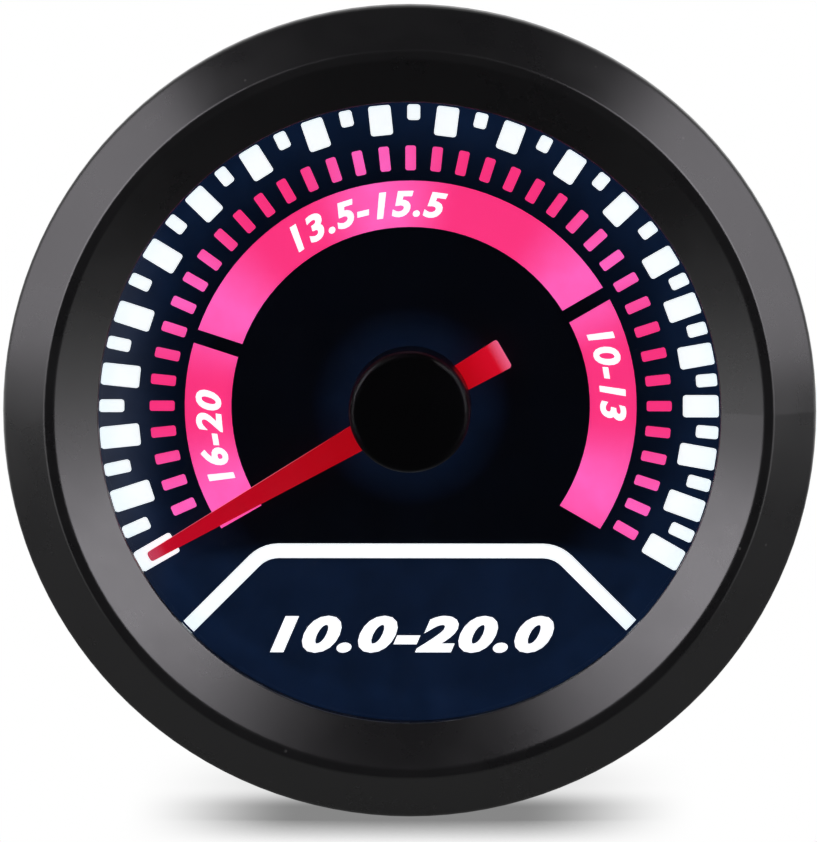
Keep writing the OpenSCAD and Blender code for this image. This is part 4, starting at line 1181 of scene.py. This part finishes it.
@dataclass
class ThreadedStuds:
    """The two mounting studs with their rolled threads and the heads inside the rear cover."""

    shop: Workshop
    finish: Finish
    x_mm: float = 17.0
    thread_r_mm: float = 2.0
    pitch_mm: float = 0.7
    depth_mm: float = 0.34
    head_r_mm: float = 3.6
    head_mm: tuple[float, float] = (31.8, 33.0)
    thread_mm: tuple[float, float] = (33.0, 49.0)
    chamfer_mm: float = 0.5
    around: int = 36
    per_turn: int = 9

    def rings(self, side: int) -> np.ndarray:
        """Works out one stud's rings, from the head to the free end.

        Along the thread the radius is the outer radius less a rounded V: at angle a and distance d
        the phase is d / pitch - a / one turn, and the V is deepest where the phase is a half. It
        fades in over the first pitch, and the end is turned down by the chamfer.

        Args:
            side: -1 for the left stud, 1 for the right one.

        Returns:
            Points by ring, by place round it, and by coordinate, in metres.
        """
        turn = np.linspace(0.0, math.tau, self.around, endpoint=False)
        start, end = self.thread_mm
        steps = int(round((end - start) / self.pitch_mm * self.per_turn))
        deep = np.linspace(start, end, steps + 1)
        phase = (deep[:, None] / self.pitch_mm - turn[None, :] / math.tau) % 1.0
        groove = np.clip(1.25 * (1.0 - np.abs(2.0 * phase - 1.0)) - 0.12, 0.0, 1.0)
        fade = np.clip((deep - start) / self.pitch_mm, 0.0, 1.0)[:, None]
        radius = self.thread_r_mm - self.depth_mm * groove * fade
        cone = self.thread_r_mm - self.chamfer_mm + np.clip(end - deep, 0.0, None)[:, None]
        radius = np.minimum(radius, cone)
        head = np.array([[0.4, self.head_mm[0]], [self.head_r_mm - 0.2, self.head_mm[0]],
                         [self.head_r_mm, self.head_mm[0] + 0.2], [self.head_r_mm, self.head_mm[1]]])
        radius = np.concatenate([np.repeat(head[:, :1], self.around, axis=1), radius])
        deep = np.concatenate([head[:, 1], deep])
        across = side * self.x_mm + radius * np.cos(turn)
        up = radius * np.sin(turn)
        return np.stack([across, np.repeat(deep[:, None], self.around, axis=1), up], axis=-1) * MM

    def build(self) -> None:
        """Makes both studs, which stand for the plain ones."""
        for side, name in ((-1, "stud_left"), (1, "stud_right")):
            points, faces = skin(self.rings(side))
            made = self.shop.piece(name, points, faces, self.finish, Body.HOUSING, "zinc_steel", smooth=False)
            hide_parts("mounting_studs")


@dataclass
class Housing:
    """The can, the rear cover and the hardware that holds the gauge in the panel."""

    shop: Workshop
    black: Finish = Moulded("can_black", (0.016, 0.016, 0.017), 0.55, 0.35, 0.006, 0.2, 0.15, 0.5)
    bracket: Finish = Metal("zinc_bracket", (0.60, 0.61, 0.62), 0.34, Lay.ALONG_X, 0.12, 0.002, 0.15)
    zinc: Finish = Metal("zinc_steel", (0.62, 0.62, 0.61), 0.3, Lay.NONE, 0.2, 0.002, 0.12,
                         (0.56, 0.50, 0.36))

    def dress(self) -> None:
        """Dresses the housing and the hardware, and threads the studs."""
        self.shop.dress(self.black, "can", "rear_cover")
        self.shop.dress(self.bracket, "mounting_bracket")
        names = ("board_screws", "cover_screws", "mounting_studs", "lock_washers", "stud_nuts")
        self.shop.dress(self.zinc, *names)
        ThreadedStuds(self.shop, self.zinc).build()


@dataclass
class Softbox:
    """A large soft lamp, placed by its direction from the gauge."""

    name: str
    dial_deg: float
    off_axis_deg: float
    width: float
    height: float
    radiance: float
    tint: Colour = (1.0, 0.96, 1.02)
    distance: float = 0.6

    def build(self) -> None:
        """Adds the lamp, aimed at the gauge and unseen by the camera."""
        turn, off = math.radians(self.dial_deg), math.radians(self.off_axis_deg)
        way = Vector((math.cos(turn) * math.sin(off), -math.cos(off), math.sin(turn) * math.sin(off)))
        lamp = bpy.data.lights.new(self.name, "AREA")
        lamp.shape = "RECTANGLE"
        lamp.size, lamp.size_y = self.width, self.height
        lamp.color = self.tint
        lamp.energy = self.radiance * math.pi * self.width * self.height
        holder = bpy.data.objects.new(self.name, lamp)
        bpy.context.scene.collection.objects.link(holder)
        holder.location = way * self.distance
        holder.rotation_euler = way.to_track_quat("Z", "Y").to_euler()
        holder.visible_camera = False
        LOG.info("lit %s", self.name)


@dataclass
class Studio:
    """The floor, the plain soft light and the camera."""

    floor_z_mm: float = -30.0
    camera_right_deg: float = 0.8
    camera_up_deg: float = 4.0
    distance: float = 2.0
    scale_px_per_mm: float = 13.55
    aim_mm: Place = (-0.09, -1.0, -0.77)
    floor_reach: float = 6.0
    floor_tones: tuple[Colour, Colour] = ((0.78, 0.78, 0.78), (0.82, 0.82, 0.82))
    shade_reach_mm: float = 25.0
    shade_power: float = 2.4
    shade_most: float = 0.76
    dim_level: float = 0.003
    soft_level: float = 0.32
    softboxes: tuple[Softbox, ...] = field(default_factory=lambda: tuple(
        Softbox(f"{name}_{side}", abs(turn - dial_deg), off_axis_deg, width, height, radiance)
        for side, turn in (("right", 0.0), ("left", 180.0))
        for name, dial_deg, off_axis_deg, width, height, radiance in (
            ("side_lamp", 27.0, 91.0, 0.34, 0.54, 1.55),
            ("front_lamp", 34.0, 60.0, 0.34, 0.52, 2.1),
            ("low_lamp", 8.0, 59.0, 0.34, 0.84, 0.95),
        )
    ))

    def build(self) -> None:
        """Builds the whole studio."""
        self.add_floor()
        self.add_world()
        for lamp in self.softboxes:
            lamp.build()
        self.add_camera()
        bpy.context.scene.view_settings.view_transform = "Standard"

    def add_floor(self) -> None:
        """Adds a pale floor that is white to the camera, with the gauge's shadow painted into that white."""
        mesh = bpy.data.meshes.new("floor")
        reach, low = self.floor_reach, self.floor_z_mm * MM
        corners = [(-reach, -reach, low), (reach, -reach, low), (reach, reach, low), (-reach, reach, low)]
        mesh.from_pydata(corners, [], [(0, 1, 2, 3)])
        floor = bpy.data.objects.new("floor", mesh)
        bpy.context.scene.collection.objects.link(floor)
        made = bpy.data.materials.new("floor_white")
        made.use_nodes = True
        made.node_tree.nodes.clear()
        graph = Graph(made.node_tree)
        place = graph.add("ShaderNodeTexCoord").outputs["Object"]
        paper = graph.noise(place, 40.0, 4.0)
        matt = graph.add("ShaderNodeBsdfDiffuse", {"Color": graph.blend(paper, *self.floor_tones)})
        path = graph.add("ShaderNodeLightPath")
        spot = graph.add("ShaderNodeSeparateXYZ", {0: place})
        mirrored = graph.math("MAXIMUM", path.outputs["Is Glossy Ray"], path.outputs["Is Transmission Ray"])
        near = graph.step(spot.outputs["Y"], -16 * MM, -6 * MM, 0.005, 0.13)
        image = graph.math("MAXIMUM", near, graph.step(spot.outputs["Y"], 20 * MM, 200 * MM))
        # The bezel's cone mirrors the floor beside the gauge, and the lens only the floor ahead of it.
        beside = graph.math("ABSOLUTE", spot.outputs["X"])
        beside = graph.math("ADD", beside, graph.math("MULTIPLY", spot.outputs["Y"], 0.9))
        flank = graph.step(beside, 2 * MM, 28 * MM, 0.0, 0.75)
        flank = graph.math("MULTIPLY", flank, graph.step(spot.outputs["Y"], 0.0, -50 * MM))
        image = graph.math("MAXIMUM", image, flank)
        glow = graph.add("ShaderNodeEmission", {"Strength": image})
        below = graph.add("ShaderNodeMixShader", {0: mirrored, 1: matt.outputs[0], 2: glow.outputs[0]})
        # To the camera the floor is emission alone, so the gauge's shadow on it is a painted shadow from the
        # ambient occlusion.
        white = graph.add("ShaderNodeEmission", {"Strength": self.shade(graph, spot)})
        feeds = {0: path.outputs["Is Camera Ray"], 1: below.outputs[0], 2: white.outputs[0]}
        surface = graph.add("ShaderNodeMixShader", feeds)
        graph.put(graph.add("ShaderNodeOutputMaterial").inputs["Surface"], surface.outputs[0])
        mesh.materials.append(made)
        floor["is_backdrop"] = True

    def shade(self, graph: Graph, spot: bpy.types.Node) -> Socket:
        """How white the floor shows, as a painted shadow: 1, less the share of the sky that the gauge hides
        from it.

        The open share is raised to a power, and its loss is held to a limit and weighed less off to
        the sides and far behind.

        Args:
            graph: The floor's graph.
            spot: The node that gives a floor point's coordinates.

        Returns:
            The level's socket.
        """
        open_sky = graph.add("ShaderNodeAmbientOcclusion", {"Distance": self.shade_reach_mm * MM}, samples=24)
        hidden = graph.math("SUBTRACT", 1.0, graph.math("POWER", open_sky.outputs["AO"], self.shade_power))
        hidden = graph.math("MINIMUM", hidden, self.shade_most)
        side = graph.step(graph.math("ABSOLUTE", spot.outputs["X"]), 8 * MM, 21.5 * MM, 1.0, 0.0)
        back = graph.step(spot.outputs["Y"], 6 * MM, 24 * MM, 1.0, 0.3)
        return graph.math("SUBTRACT", 1.0, graph.math("MULTIPLY", hidden, graph.math("MULTIPLY", side, back)))

    def add_world(self) -> None:
        """Adds the surround: white to the camera and behind the gauge, dim in front of the dial."""
        world = bpy.data.worlds.new("studio")
        bpy.context.scene.world = world
        world.use_nodes = True
        world.node_tree.nodes.clear()
        graph = Graph(world.node_tree)
        way = graph.add("ShaderNodeSeparateXYZ", {0: graph.add("ShaderNodeTexCoord").outputs["Generated"]})
        path = graph.add("ShaderNodeLightPath")
        mirrored = graph.math("MAXIMUM", path.outputs["Is Glossy Ray"], path.outputs["Is Transmission Ray"])
        behind = graph.step(way.outputs["Y"], 0.25, 0.6, self.dim_level, 0.4)
        shown = graph.math("ADD", behind, graph.step(way.outputs["Y"], 0.93, 0.99, 0.0, 0.4))
        light = graph.add("ShaderNodeMix", {0: mirrored, 2: self.soft_level, 3: shown}).outputs[0]
        light = graph.math("MAXIMUM", light, path.outputs["Is Camera Ray"])
        surround = graph.add("ShaderNodeBackground", {"Color": (1.0, 1.0, 1.0), "Strength": light})
        graph.put(graph.add("ShaderNodeOutputWorld").inputs["Surface"], surround.outputs[0])

    def add_camera(self) -> None:
        """Adds the camera, a little above and to the right of the gauge's axis."""
        right, up = math.radians(self.camera_right_deg), math.radians(self.camera_up_deg)
        way = Vector((math.sin(right) * math.cos(up), -math.cos(right) * math.cos(up), math.sin(up)))
        view = bpy.data.cameras.new("camera")
        view.sensor_width = SENSOR_MM
        view.lens = self.scale_px_per_mm * SENSOR_MM / max(FRAME_PX) * self.distance / MM
        view.clip_start, view.clip_end = 0.1, 20.0
        holder = bpy.data.objects.new("camera", view)
        bpy.context.scene.collection.objects.link(holder)
        holder.location = Vector(self.aim_mm) * MM + way * self.distance
        holder.rotation_euler = way.to_track_quat("Z", "Y").to_euler()
        bpy.context.scene.camera = holder


def corners() -> list[list[float]]:
    """Gives the shown object's box as two plain lists of numbers."""
    return [[float(v) for v in corner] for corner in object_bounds()]


def main() -> None:
    """Loads the frame, dresses it piece by piece, and sets up the studio."""
    logging.basicConfig(level=logging.INFO, format="%(name)s: %(message)s")
    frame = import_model()
    shop = Workshop(frame["nodes"])
    Studio().build()
    for make in (BezelAndLens, Dial, Pointer, LightBox, Movement, Boards, Housing):
        make(shop).dress()
        LOG.info("finished %s", make.__name__)


if __name__ == "__main__":
    main()
